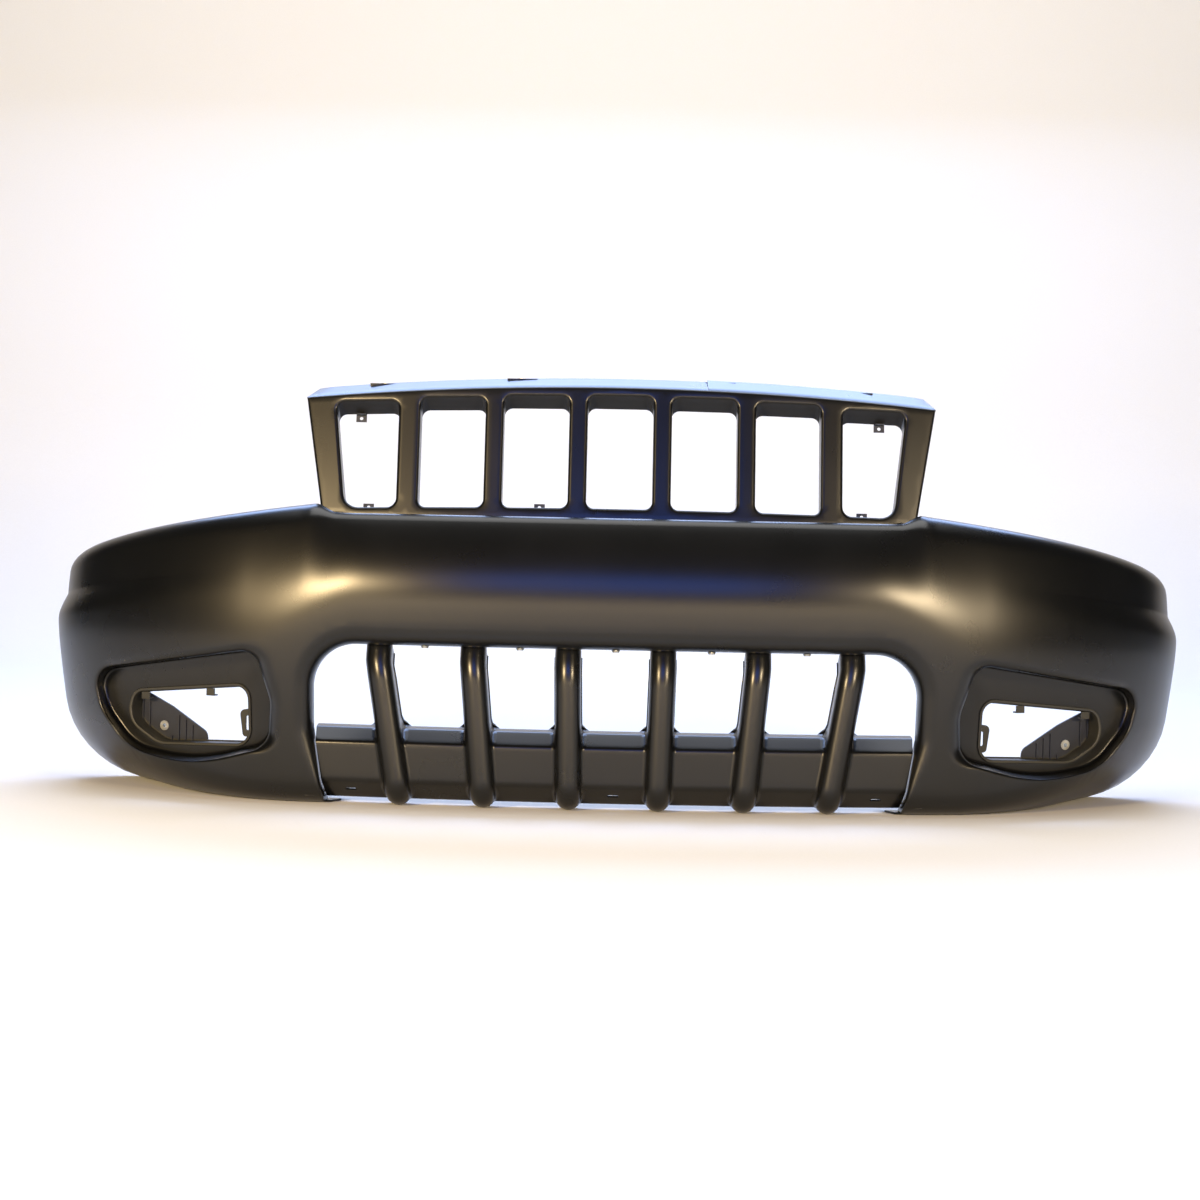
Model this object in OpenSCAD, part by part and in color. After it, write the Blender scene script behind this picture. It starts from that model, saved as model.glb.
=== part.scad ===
// Front bumper cover of a sport utility vehicle, bare and off the vehicle.
// X runs across the vehicle, -Y is forward, Z is up, and the cover stands on its lower edge at z = 0.

/* [Plan and wall] */
// Half of the width at the widest points of the plan curve
half_w = 900; // [890:5:910]
// Length of the plan curve from the nose to the widest points
plan_len = 480; // [470:5:490]
// Squareness of the plan curve, where 2 is an ellipse
plan_n = 2.6; // [2.5:0.05:2.7]
// Wall thickness of every moulding
wall = 3; // [2.5:0.5:3.5]
// How far the nose stands in front of the origin
nose_y = 222.75; // [215:0.25:230]

/* [Cover profile] */
// Height of the front edge between the two notch corners
notch_z = 427; // [425:1:430]
// Height of the shoulders beside the notch
shoulder_z = 440; // [436:1:444]
// Height that a shoulder loses over each degree of the plan curve
shoulder_fall = 1.6; // [1.4:0.1:1.7]
// Height of the foremost line at the middle
nose_z_mid = 310; // [300:5:320]
// How much lower the foremost line is beside the arch
nose_drop = 60; // [50:5:70]
// How far the face leans back at the top of the middle
crown_mid = 42; // [38:1:46]
// How far the face leans back at the top of the ends
crown_end = 8; // [6:1:10]
// Inward lean of the lower face
lean = 0.15; // [0.12:0.01:0.16]
// Radius that turns the face under at the arch
tuck_mid = 35; // [30:1:40]
// Radius that turns the face under at the ends
tuck_end = 125; // [115:5:125]
// Step of the ledge along each end
ledge_step = 13; // [10:1:15]
// Height of the sloped facet under the ledge line
ledge_h = 38; // [34:1:42]
// Width of the flat flange along the lower edge
foot_w = 24; // [18:1:26]

/* [Arch and wheel cut] */
// Half of the arch width at its straight sides
arch_x = 441; // [438:1:444]
// Half of the arch width at the floor
arch_foot_x = 420; // [417:1:423]
// Height of the underside of the arch
arch_z = 237; // [235:1:238]
// Corner radius of the arch
arch_r = 65; // [60:1:70]
// Depth of the return flange round the arch
arch_ret = 39; // [36:1:42]
// Radius of the wheel cut at both ends
wheel_r = 440; // [435:1:445]

/* [Lamp pockets] */
// Turn of the pocket floor away from straight ahead
lamp_turn = 21; // [20:0.5:22]
// Depth of the bezel behind the pocket floor
bezel_d = 24; // [22:1:26]

/* [Grille surround] */
// Lean of the surround from upright
surround_lean = 10; // [9:0.5:11]
// Plan radius of the surround
surround_r = 2600; // [2500:50:2700]
// Half width of the surround at the top
surround_top = 475; // [470:1:480]
// Half width of the surround at the shelf
surround_foot = 440; // [436:1:440]
// Distance between slot centres
slot_pitch = 125.5; // [125:0.5:126]
// Width of the five middle slots
slot_w = 98; // [94:1:100]
// Depth of the slot returns
slot_ret = 35; // [30:1:38]
// Bore of the four top mounting holes
top_bore = 9; // [8:0.5:10]

/* [Lower grille] */
// Plan radius of the lower grille
grille_r = 3300; // [3200:50:3400]
// Radius of the six ribs
rib_r = 19; // [18:0.5:20]
// Gap between the lower grille and the cover along the seams
seam = 1.5; // [1:0.5:2]

/* [Hidden] */
$fn = 48;

black = "#16181a";
dark = "#0d0f12";
zinc = "#9a9c98";
steel = "#6f7478";

end_t = 88.8;          // plan angle at which both ends stop
cols = 52;             // columns of the cover's grid
face_rows = 9;         // rows between the top round and the tuck
notch_t = 24.5;        // plan angle of the notch corners
shelf_drop = 6;        // fall of the top shelf behind its front edge
notch_skew = 8;        // how much later, in plan angle, the rear of the shelf rises beside the notch
wheel_c = [800 - nose_y, 80];          // centre of the wheel cut, y and z
flange_z = 30;         // height at which the arch flange starts
shelf_top = notch_z - shelf_drop;
seat_z = shelf_top + 1.2;
bite = 1.2;             // how far walls that join reach into each other
draft = 2;              // taper of the pocket walls towards their floor

function ease(a, b, v) = let (u = min(max((v - a) / (b - a), 0), 1)) u * u * (3 - 2 * u);
function unit(v) = v / norm(v);
function mix(a, b, u) = a + (b - a) * u;
function flip(p) = [for (i = [len(p) - 1 : -1 : 0]) [-p[i].x, p[i].y]];

// Normal of an outline at point i, long enough to keep an offset wall even
function mitre(p, i, shut) =
    let (n = len(p),
         d0 = unit(shut || i > 0 ? p[i] - p[(i + n - 1) % n] : p[1] - p[0]),
         d1 = unit(shut || i < n - 1 ? p[(i + 1) % n] - p[i] : p[i] - p[i - 1]),
         m = unit([-(d0 + d1).y, (d0 + d1).x]))
    m / max(m * [-d0.y, d0.x], 0.3);
function grow(p, w) = [for (i = [0 : len(p) - 1]) p[i] + w * mitre(p, i, true)];
function thicken(p, w) =
    concat(p, [for (i = [len(p) - 1 : -1 : 0]) p[i] + w * mitre(p, i, false)]);

// Arc of radius r in the corner b between points a and c
function fillet(a, b, c, r, n) =
    let (u = unit(a - b), v = unit(c - b), h = acos(u * v) / 2,
         o = b + unit(u + v) * r / sin(h),
         s = b + u * r / tan(h) - o, e = b + v * r / tan(h) - o,
         a0 = atan2(s.y, s.x), turn = (atan2(e.y, e.x) - a0 + 540) % 360 - 180)
    [for (k = [0 : n]) o + r * [cos(a0 + turn * k / n), sin(a0 + turn * k / n)]];
function flat2(p) = [p.x, p.y];
function round_poly(c, n = 3) =
    let (m = len(c))
    [for (i = [0 : m - 1])
        each fillet(flat2(c[(i + m - 1) % m]), flat2(c[i]), flat2(c[(i + 1) % m]), c[i].z, n)];

// Plan curve of the cover: a superellipse walked by the angle t
function plan_x(t) = half_w * sign(t) * pow(abs(sin(t)), 2 / plan_n);
function plan_y(t) = plan_len * (1 - pow(cos(t), 2 / plan_n)) - nose_y;
function plan_t(x) = sign(x) * asin(pow(min(abs(x) / half_w, 1), plan_n / 2));
function plan_normal(t) =
    let (k = 2 * (plan_n - 1) / plan_n)
    unit([sign(t) * pow(abs(sin(t)), k) / half_w, -pow(cos(t), k) / plan_len]);

// Upright profile of the cover, as an inset from the plan curve at plan angle a and height z
function nose_z(a) = nose_z_mid - nose_drop * ease(18, 31, a);
function top_z(a, late = 0) =
    mix(notch_z, shoulder_z - shoulder_fall * max(a - notch_t, 0), ease(notch_t - 3 + late, notch_t + late, a));
function top_r(a) = mix(10, 28, ease(notch_t - 3, notch_t + 1, a));
function shelf_o(a) = mix(160, 88, ease(notch_t, notch_t + 6, a));
function crown(a) = mix(crown_mid, crown_end, ease(15, 80, a));
function lean_back(a, z) = crown(a) * pow(max(z - nose_z(a), 0) / (top_z(a) - nose_z(a)), 2);
function lean_under(a, z) = let (u = max(nose_z(a) - z, 0)) lean * u * u / (u + 50);
function tuck_r(a) = mix(tuck_mid, tuck_end, ease(28, 62, a));
function tuck(a, z) = let (r = tuck_r(a), u = max(r - z, 0)) r - sqrt(r * r - u * u);
function ledge_z(a) = 342 - 1.08 * (a - 30);
function ledge(a, z) = ledge_step * ease(31, 60, a) * ease(ledge_z(a) - ledge_h, ledge_z(a), z);
function inset(a, z) = lean_back(a, z) + lean_under(a, z) + tuck(a, z) + ledge(a, z);

function skin(t, o, z) = let (n = plan_normal(t)) [plan_x(t) - n.x * o, plan_y(t) - n.y * o, z];
function skin_t(x, z, t, k = 6) =
    k == 0 ? t : skin_t(x, z, plan_t(x + plan_normal(t).x * inset(abs(t), z)), k - 1);
function skin_y(x, z) =
    let (t = skin_t(x, z, plan_t(x)))
    skin(t, inset(abs(t), z), z).y;

// One column of the cover, from the rear of the shelf over the face to the lower flange
function column(t) =
    let (a = abs(t), zt = top_z(a), r = top_r(a), o = inset(a, zt) + r, ro = shelf_o(a), rt = tuck_r(a))
    concat(
        [for (k = [0 : 3])
            skin(t, mix(ro, o, k / 4), top_z(a, notch_skew * (1 - k / 4)) - shelf_drop * ease(0, 1, 2 - k / 2))],
        [for (k = [0 : 3]) let (z = zt - r * (1 - sin(90 - 30 * k)))
            skin(t, inset(a, z) + r * (1 - cos(90 - 30 * k)), z)],
        [for (k = [1 : face_rows]) let (z = mix(zt - r, rt, k / face_rows)) skin(t, inset(a, z), z)],
        [for (k = [1 : 4]) let (z = rt * (1 - sin(22.5 * k))) skin(t, inset(a, z), z)],
        [skin(t, inset(a, 0) + foot_w, 0)]);

// Solid between a grid of points and the same grid moved by the wall thickness
module sheet(p, w) {
    n = len(p) - 1;
    m = len(p[0]) - 1;
    q = [for (i = [0 : n]) [for (j = [0 : m])
        let (du = p[min(i + 1, n)][j] - p[max(i - 1, 0)][j], dv = p[i][min(j + 1, m)] - p[i][max(j - 1, 0)])
        p[i][j] + w * unit(cross(du, dv))]];
    k = m + 1;
    b = (n + 1) * k;
    polyhedron(
        concat([for (c = p) each c], [for (c = q) each c]),
        concat(
            [for (i = [0 : n - 1], j = [0 : m - 1]) let (s = i * k + j) [s, s + k, s + k + 1, s + 1]],
            [for (i = [0 : n - 1], j = [0 : m - 1]) let (s = b + i * k + j) [s, s + 1, s + k + 1, s + k]],
            [for (i = [0 : n - 1]) let (s = i * k) [s + k, s, b + s, b + s + k]],
            [for (i = [0 : n - 1]) let (s = i * k + m) [s, s + k, b + s + k, b + s]],
            [for (j = [0 : m - 1]) [j, j + 1, b + j + 1, b + j]],
            [for (j = [0 : m - 1]) let (s = n * k + j) [s + 1, s, b + s, b + s + 1]]));
}

// Solid through a row of equal sections
module loft(s, shut = false) {
    n = len(s);
    k = len(s[0]);
    polyhedron(
        [for (c = s) each c],
        concat(
            [for (i = [0 : shut ? n - 1 : n - 2], j = [0 : k - 1])
                [i * k + j, i * k + (j + 1) % k, (i + 1) % n * k + (j + 1) % k, (i + 1) % n * k + j]],
            shut ? [] : [[for (j = [k - 1 : -1 : 0]) j], [for (j = [0 : k - 1]) (n - 1) * k + j]]));
}

// Plate in the local X-Z plane between the depths v0 and v1
module plate(v0, v1) translate([0, v1, 0]) rotate([90, 0, 0]) linear_extrude(v1 - v0) children();

// Child on the right, mirrored when side is -1
module at_side(side) mirror([side < 0 ? 1 : 0, 0, 0]) children();

// ---- outlines ----
function arch_half(g, n = 6) =
    concat([[arch_foot_x + g, -10], [mix(arch_foot_x, arch_x, 0.4) + g, flange_z], [arch_x + g, 112]],
        [for (k = [0 : n]) [arch_x - arch_r, arch_z - arch_r] + (arch_r + g) * [cos(k * 90 / n), sin(k * 90 / n)]]);
function arch(g, n = 6) = concat(arch_half(g, n), flip(arch_half(g, n)));

pocket_corners = [[794, 182, 22], [528, 225, 20], [504, 150, 30], [507, 89, 30], [628, 55, 50],
    [732, 71, 45], [778, 126, 45]];
pocket = round_poly(pocket_corners);
lamp_x = 500;                          // inboard end of the pocket floor
lamp_y = 115 - nose_y;                 // its y
lamp_cos = cos(lamp_turn);
function to_floor(p) = [for (q = p) [(q.x - lamp_x) / lamp_cos, q.y]];
lamp = round_poly([[247, 149, 20], [50, 167, 20], [46, 80, 22], [204, 75, 45], [257, 107, 32]]);
lamp_nut = [210, 97];                  // bore for the lamp in its bracket
lamp_bosses = [[150, 55], [283, 140]];
clip_u = [117, 231];                   // snap clips along the top of the bezel

module lamp_frame(side) at_side(side) translate([lamp_x, lamp_y, 0]) rotate([0, 0, lamp_turn]) children();

// ---- cover ----
module pocket_walls() {
    a = pocket;
    b = grow(a, -wall);
    c = grow(b, draft);
    d = grow(a, draft);
    loft([for (i = [0 : len(a) - 1])
        let (f = skin_y(b[i].x, b[i].y) + 1.5, r = lamp_y + tan(lamp_turn) * (b[i].x - lamp_x) + wall)
        [[b[i].x, f, b[i].y], [a[i].x, f, a[i].y], [d[i].x, r, d[i].y], [c[i].x, r, c[i].y]]], true);
}

module pocket_floor() {
    lamp_frame(1) {
        plate(0, wall) difference() {
            polygon(to_floor(grow(pocket, bite)));
            polygon(grow(lamp, -0.6));
        }
        for (p = lamp_bosses)
            translate([p.x, 0, p.y]) rotate([-90, 0, 0]) difference() {
                translate([0, 0, 1]) cylinder(h = bezel_d - 1, r = 6, $fn = 20);
                translate([0, 0, 8]) cylinder(h = bezel_d, r = 2.5, $fn = 12);
            }
    }
}

module arch_flange() {
    a = arch(0);
    b = arch(wall);
    loft([for (i = [1 : len(a) - 2])
        let (f = skin_y(b[i].x, b[i].y) + 1.5, r = f + arch_ret)
        [[b[i].x, f, b[i].y], [a[i].x, f, a[i].y], [a[i].x, r, a[i].y], [b[i].x, r, b[i].y]]]);
}

// Lip along the wheel cut, facing the wheel
module wheel_lip() {
    sheet([for (k = [0 : 10])
        let (f = -10 + 46 * k / 10, y = wheel_c.x - wheel_r * cos(f), z = wheel_c.y + wheel_r * sin(f),
             t = acos(pow(1 - (y + nose_y) / plan_len, plan_n / 2)), x = plan_x(t) - inset(t, max(z, 0)))
        [[x - 1, y, z], [x - 26, y, z]]], wall);
}

fender_t = 80;
fender_a = skin(fender_t, 70, top_z(fender_t) - shelf_drop);
fender_b = skin(fender_t + 4, 70, top_z(fender_t + 4) - shelf_drop);
fender_pitch = atan2(fender_b.z - fender_a.z, fender_b.y - fender_a.y);
fender_skew = (fender_b.x - fender_a.x) / (fender_b.y - fender_a.y);
fender_holes = [-34, 34];
module fender_frame(side) at_side(side) translate(fender_a) rotate([fender_pitch, 0, 0]) children();

rivet = [438, 138 - nose_y];           // x and y of the right push-in rivet
tab_z = 12;                            // underside of the cover's rivet tab
tab_end = 152 - nose_y;                // rear edge of both rivet tabs
module rivet_tab(x, d, z) translate([x, d - nose_y, z]) cube([452 - x, tab_end + nose_y - d, wall]);

module slot_cut(x, y, z, w, r) translate([x, y, z]) hull() for (s = [-1, 1]) translate([s * w / 2, 0, 0])
    cylinder(h = 20, r = r, center = true, $fn = 12);

surround_hole_x = [-390, -235, -80, 80, 235, 390];
function surround_axis(x) = 118 - nose_y + surround_r - sqrt(pow(surround_r - 25, 2) - x * x);
rail_hole_x = [-276, -138, 0, 138, 276];
function rail_axis(x) = 32 - nose_y + grille_r - sqrt(grille_r * grille_r - x * x);

module bumper_cover() color(black) difference() {
    union() {
        difference() {
            sheet([for (i = [0 : cols]) let (u = 2 * i / cols - 1)
                column(end_t * sign(u) * pow(abs(u), 1.12))], wall);
            plate(-nose_y - 5, 0) polygon(arch(bite, 7));
            for (s = [-1, 1]) at_side(s) plate(-nose_y - 5, 60) polygon(grow(round_poly(pocket_corners, 4), -bite));
            for (s = [-1, 1]) at_side(s) translate([700, wheel_c.x, wheel_c.y]) rotate([0, 90, 0])
                cylinder(h = 300, r = wheel_r, $fn = 70);
        }
        arch_flange();
        for (s = [-1, 1]) at_side(s) {
            pocket_walls();
            pocket_floor();
            wheel_lip();
            rivet_tab(425, 72, tab_z);
        }
    }
    for (x = [-340, -180, 0, 180, 340]) slot_cut(x, 104 - nose_y, shelf_top, 12, 2.5);
    for (s = [-1, 1]) at_side(s) {
        for (t = [34, 42, 50]) let (p = skin(t, 74, top_z(t))) slot_cut(p.x, p.y, p.z - 8, 10, 3);
        translate([rivet.x, rivet.y, tab_z - 1]) cylinder(h = 6, r = 4.4, $fn = 16);
    }
    for (s = [-1, 1]) fender_frame(s) for (v = fender_holes)
        translate([v * fender_skew, v, -20]) cylinder(h = 40, r = 3.4, $fn = 14);
    for (x = surround_hole_x) translate([x, surround_axis(x), shelf_top - 10]) cylinder(h = 20, r = 3.8, $fn = 14);
    for (x = rail_hole_x) translate([x, rail_axis(x), arch_z - 5]) cylinder(h = 12, r = 3.2, $fn = 14);
}

// ---- grille surround ----
module surround_frame() translate([0, 118 - nose_y, seat_z]) rotate([-surround_lean, 0, 0]) children();

// Part of the bent slab between two depths behind the front face
module bent(d0, d1, z0, z1) translate([0, surround_r, z0]) difference() {
    cylinder(h = z1 - z0, r = surround_r - d0, $fn = 360);
    translate([0, 0, -1]) cylinder(h = z1 - z0 + 2, r = surround_r - d1, $fn = 360);
}

surround_h = 204;                      // height of the front face at the middle
crown_fall = 14;                       // fall of its top edge at the corners
function crown_z(x) = surround_h - crown_fall * pow(x / surround_top, 2);
surround_outline = concat(
    [[surround_foot, -20]],
    [for (k = [0 : 16]) let (x = surround_top * (1 - k / 8)) [x, crown_z(x)]],
    [[-surround_foot, -20]]);

function slot_outline(i, top, g) =
    let (c = i * slot_pitch, h = slot_w / 2 + g, z0 = 20 - g, z1 = crown_z(c) - top + g, s = sign(i))
    abs(i) < 3
    ? round_poly([[c - h, z0, 12], [c + h, z0, 12], [c + h, z1, 12], [c - h, z1, 12]])
    : let (x0 = 333 - g, x1 = 411 + g, x2 = 429 + g)
      round_poly(s > 0
        ? [[x0, z0, 14], [x1, z0, 24], [x2, z1, 12], [x0, z1, 12]]
        : [[-x1, z0, 24], [-x0, z0, 14], [-x0, z1, 12], [-x2, z1, 12]]);
module slot(i, top, g) hull() polygon(slot_outline(i, top, g));
slots = [-3 : 3];
slot_top = 14;                         // distance of a slot from the top edge
slot_ledge = 12;                       // how much lower the rear of a slot's top wall is

function flange_sec(x, rise, d) =
    let (y0 = surround_r - sqrt(surround_r * surround_r - x * x), c = crown_z(x),
         z = c * cos(surround_lean) - y0 * sin(surround_lean),
         y = y0 * cos(surround_lean) + c * sin(surround_lean), v = [d * cos(rise), d * sin(rise)])
    [[x, y, z - wall], [x, y, z], [x, y + v.x, z + v.y], [x, y + v.x, z + v.y - wall]];
module top_flange(x0, x1, rise, d)
    translate([0, 118 - nose_y, seat_z])
        loft([for (k = [0 : 10]) flange_sec(mix(x0, x1, k / 10), rise, d)]);

flange_step_x = 130;                   // where the top flange steps up
flange_l = 57;
tab_x = [360, 150];                    // mounting tabs on each side
tab_d = 14;                            // distance from a tab's hole to the flange's rear edge
tab_h = 4.5;                           // thickness of a tab
tab_drop = 6;                          // how far a tab's underside lies below the flange's rear edge
sleeve_r = 6;                          // outer radius of a mounting sleeve
function tab_top(x) = flange_sec(x, 17, flange_l)[2] + [0, 118 - nose_y, seat_z];

module grille_surround() color(black) difference() {
    union() {
        intersection() {
            surround_frame() {
                difference() {
                    intersection() {
                        bent(0, wall, -20, 230);
                        plate(-20, 120) polygon(surround_outline);
                    }
                    for (i = slots) plate(-20, 120) slot(i, slot_top, 0);
                }
                difference() {
                    intersection() {
                        bent(1, slot_ret, -20, 230);
                        plate(-20, 150) union() {
                            for (i = slots) slot(i, slot_top, wall);
                        }
                    }
                    for (i = slots) plate(-20, 160) slot(i, slot_top + slot_ledge, 0);
                }
            }
            translate([-600, -nose_y, seat_z]) cube([1200, 2 * nose_y, 300]);
        }
        top_flange(-surround_top, flange_step_x, 17, flange_l);
        top_flange(flange_step_x, surround_top, 19.5, flange_l);
        intersection() {
            translate([0, 118 - nose_y, seat_z]) bent(0, 42, 0, wall);
            translate([-surround_foot + 4, -nose_y, 0]) cube([2 * surround_foot - 8, 2 * nose_y, 600]);
        }
        for (x = tab_x, s = [-1, 1]) let (p = tab_top(x))
            translate([s * x - 23, p.y - 6, p.z - tab_drop]) cube([46, tab_d + 20, tab_h]);
    }
    for (x = tab_x, s = [-1, 1]) let (p = tab_top(x))
        translate([s * x, p.y + tab_d, p.z - 20]) cylinder(h = 30, r = sleeve_r + 0.2);
    for (x = surround_hole_x) translate([x, surround_axis(x), seat_z - 1]) cylinder(h = 6, r = 3.5);
}

// ---- lower grille ----
grille_c = 45 - nose_y + grille_r;     // y of the plan centre
function grille_ring(p) = [for (q = p) [grille_r + 45 - q.x, q.y]];
sill = [[96, 114], [76, 112], [55, 99], [49, 96], [46, 92], [45, 86], [48, 45], [52, 34], [75, 10], [82, 8], [95, 8]];
rail = [[22, arch_z + 4.5], [58, arch_z + 4.5], [58, arch_z + 26]];
rib_foot_x = [65, 190, 314];
rib_head_x = [69, 207, 345];
function bend(x) = x * x / (2 * grille_r);

module swept(p) translate([0, grille_c, 0]) rotate([0, 0, -90 - 8]) rotate_extrude(angle = 16, $fn = 240)
    polygon(p);

// Round bar with rounded ends between the foot and the head of a rib
module rib(x0, x1, r) hull() {
    translate([x0, 50 + bend(x0) - nose_y, rib_r]) sphere(r = r, $fn = 20);
    translate([x1, 44 + bend(x1) - nose_y, 212]) sphere(r = r, $fn = 20);
}

// Strap from the rail over the rear edge of the arch flange to the head of a rib
module rib_strap() {
    translate([0, 50, arch_z + 5]) cube([20, 22, wall]);
    translate([0, 68, arch_z - 12]) cube([20, 4, 12 + 5 + wall]);
    translate([0, 48, arch_z - 12]) cube([20, 24, 4]);
}

module lower_grille() color(black) difference() {
    union() {
        intersection() {
            swept(grille_ring(thicken(sill, wall)));
            plate(-nose_y - 5, 60) polygon(arch(-seam));
        }
        intersection() {
            swept(grille_ring(thicken(rail, wall)));
            translate([-400, -nose_y, 0]) cube([800, 2 * nose_y, 600]);
        }
        for (s = [-1, 1], i = [0 : 2]) {
            difference() {
                rib(s * rib_foot_x[i], s * rib_head_x[i], rib_r);
                rib(s * rib_foot_x[i], s * rib_head_x[i], rib_r - wall);
                translate([-500, 54 + bend(rib_foot_x[i]) - nose_y, -10]) cube([1000, 60, 300]);
            }
            translate([s * rib_head_x[i] - 10, bend(rib_head_x[i]) - nose_y, 0]) rib_strap();
        }
        for (s = [-1, 1]) at_side(s) rivet_tab(395, 96.5, tab_z + wall + 0.4);
    }
    for (x = [-385, 0, 385]) translate([x, 62 + bend(x) - nose_y, 22]) rotate([43, 0, 0])
        cube([17, 5, 20], center = true);
    for (x = rail_hole_x) translate([x, rail_axis(x), arch_z]) cylinder(h = 12, r = 2.6);
    for (s = [-1, 1]) translate([s * rivet.x, rivet.y, tab_z]) cylinder(h = 12, r = 4.2);
}

// ---- lamp bezels and brackets ----
module fog_bezel(side) color(black) lamp_frame(side) difference() {
    union() {
        plate(-2.5, -0.2) intersection() {
            polygon(grow(lamp, -5));
            polygon(to_floor(grow(pocket, draft + 0.6)));
        }
        plate(-2.4, bezel_d) polygon(grow(lamp, 0.3));
        for (u = clip_u) translate([u - 7, wall + 0.4, lamp_top(u) - 1]) cube([14, 12, 7]);
    }
    difference() {
        plate(-5, bezel_d + 5) polygon(grow(lamp, 3));
        translate([40, bezel_d - wall, 86]) cube([34, wall, 44]);
    }
    translate([62, 0, 108]) rotate([-90, 0, 0]) plate_slot();
}
function lamp_top(u) = mix(167, 149, (u - 50) / 197);
module plate_slot() linear_extrude(60) hull() for (s = [-1, 1]) translate([0, s * 8]) circle(r = 3);

module fog_bracket(side) color(dark) lamp_frame(side) difference() {
    plate(bezel_d + 0.2, bezel_d + 0.2 + wall) polygon(round_poly(
        [[130, 42, 8], [262, 48, 20], [300, 120, 12], [296, 156, 8], [262, 158, 8], [196, 128, 16], [134, 92, 14]]));
    for (p = lamp_bosses) translate([p.x, bezel_d - 5, p.y]) rotate([-90, 0, 0]) cylinder(h = 20, r = 2.8);
    translate([lamp_nut.x, bezel_d - 5, lamp_nut.y]) rotate([-90, 0, 0]) cylinder(h = 20, r = 5);
}

module fog_lamp_nut(side) color(zinc) lamp_frame(side)
    translate([lamp_nut.x, bezel_d + 0.2, lamp_nut.y]) rotate([-90, 0, 0]) difference() {
        union() {
            translate([0, 0, -1.2]) cylinder(h = 1.2, r = 7.5);
            cylinder(h = 12, r = 5);
        }
        translate([0, 0, -2]) cylinder(h = 20, r = 3);
    }

// Pan head screw along +Z with its seat at the origin and its shank below
module screw(shank_r, shank_l, head_r, head_h) {
    translate([0, 0, -shank_l]) cylinder(h = shank_l + 0.5, r = shank_r);
    difference() {
        cylinder(h = head_h, r1 = head_r, r2 = head_r * 0.8);
        translate([0, 0, head_h * 0.4]) cylinder(h = head_h, r = head_r * 0.42, $fn = 6);
    }
}

module fog_bracket_screws(side) color(zinc) lamp_frame(side) for (p = lamp_bosses)
    translate([p.x, bezel_d + 0.2 + wall, p.y]) rotate([-90, 0, 0]) screw(2.2, 14, 5.5, 3);

// ---- end brackets ----
fender_gap = wall + 0.8;
fender_bore = [-5, -fender_gap - 29];  // local x and z of the bore that faces the fender
module fender_bracket(side) color(dark) fender_frame(side) difference() {
    union() {
        translate([-26, -58, -fender_gap - 3]) cube([42, 116, 3]);
        translate([-26, -58, -fender_gap - 42]) cube([3, 116, 40]);
        translate([-26, 55, -fender_gap - 42]) cube([42, 3, 40]);
        for (v = [-50, 0]) translate([-24, v, -fender_gap - 20]) cube([24, 3, 18]);
    }
    for (v = fender_holes)
        translate([v * fender_skew, v, -fender_gap - 10]) cylinder(h = 20, r = 3.1);
    translate([fender_bore.x, 40, fender_bore.y]) rotate([-90, 0, 0]) cylinder(h = 30, r = 3.3);
}
module fender_screws(side) color(zinc) fender_frame(side) for (v = fender_holes)
    translate([v * fender_skew, v, -fender_gap - 3]) rotate([180, 0, 0]) screw(3, 9, 6.5, 3.5);

// ---- fasteners of the surround and the lower grille ----
module surround_screws() color(zinc) for (x = surround_hole_x)
    translate([x, surround_axis(x), seat_z + wall]) screw(3, 16, 7, 3.4);

// Collared sleeves that line the holes of the top tabs
module mount_sleeves() color(steel) for (x = tab_x, s = [-1, 1]) let (p = tab_top(x))
    translate([s * x, p.y + tab_d, p.z - tab_drop]) difference() {
        union() {
            cylinder(h = tab_h + 1, r = sleeve_r);
            translate([0, 0, tab_h + 0.05]) cylinder(h = 1.2, r = sleeve_r + 3.5);
        }
        translate([0, 0, -1]) cylinder(h = tab_h + 4, r = top_bore / 2);
    }

module surround_u_nuts() color(steel) for (x = surround_hole_x) translate([x, surround_axis(x), 0]) difference() {
    union() {
        translate([-8, -9, shelf_top - wall - 1.4]) cube([16, 40, 1.2]);
        translate([-8, 30, shelf_top - wall - 1.4]) cube([16, 1.2, wall + 2.4]);
        translate([-8, 12, shelf_top + 0.1]) cube([16, 19.2, 0.9]);
        translate([0, 0, shelf_top - wall - 7]) cylinder(h = 6, r = 5.5);
    }
    translate([0, 0, shelf_top - 20]) cylinder(h = 30, r = 3.1);
}

module slot_clip(turn) rotate([0, turn, 0]) {
    difference() {
        translate([-8, 0, -4.5]) cube([16, 1.6, 16]);
        translate([0, -2, 6]) rotate([-90, 0, 0]) cylinder(h = 6, r = 2.6);
    }
    translate([-7, -12, 0.4]) cube([14, 13, 1.2]);
}
module at_slot(x, z) surround_frame() translate([x, surround_r - sqrt(pow(surround_r - slot_ret, 2) - x * x) + 2, z])
    children();
module slot_clips_lower() color(steel) for (x = [-378, -119, 366]) at_slot(x, 20) slot_clip(0);
module slot_clips_upper() color(steel) for (x = [-394, 392])
    at_slot(x, crown_z(3 * slot_pitch) - slot_top - slot_ledge) slot_clip(180);

module lower_grille_screws() color(zinc) for (x = rail_hole_x)
    translate([x, rail_axis(x), arch_z - 0.1]) rotate([180, 0, 0]) screw(2.5, 11, 6, 3);

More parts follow.
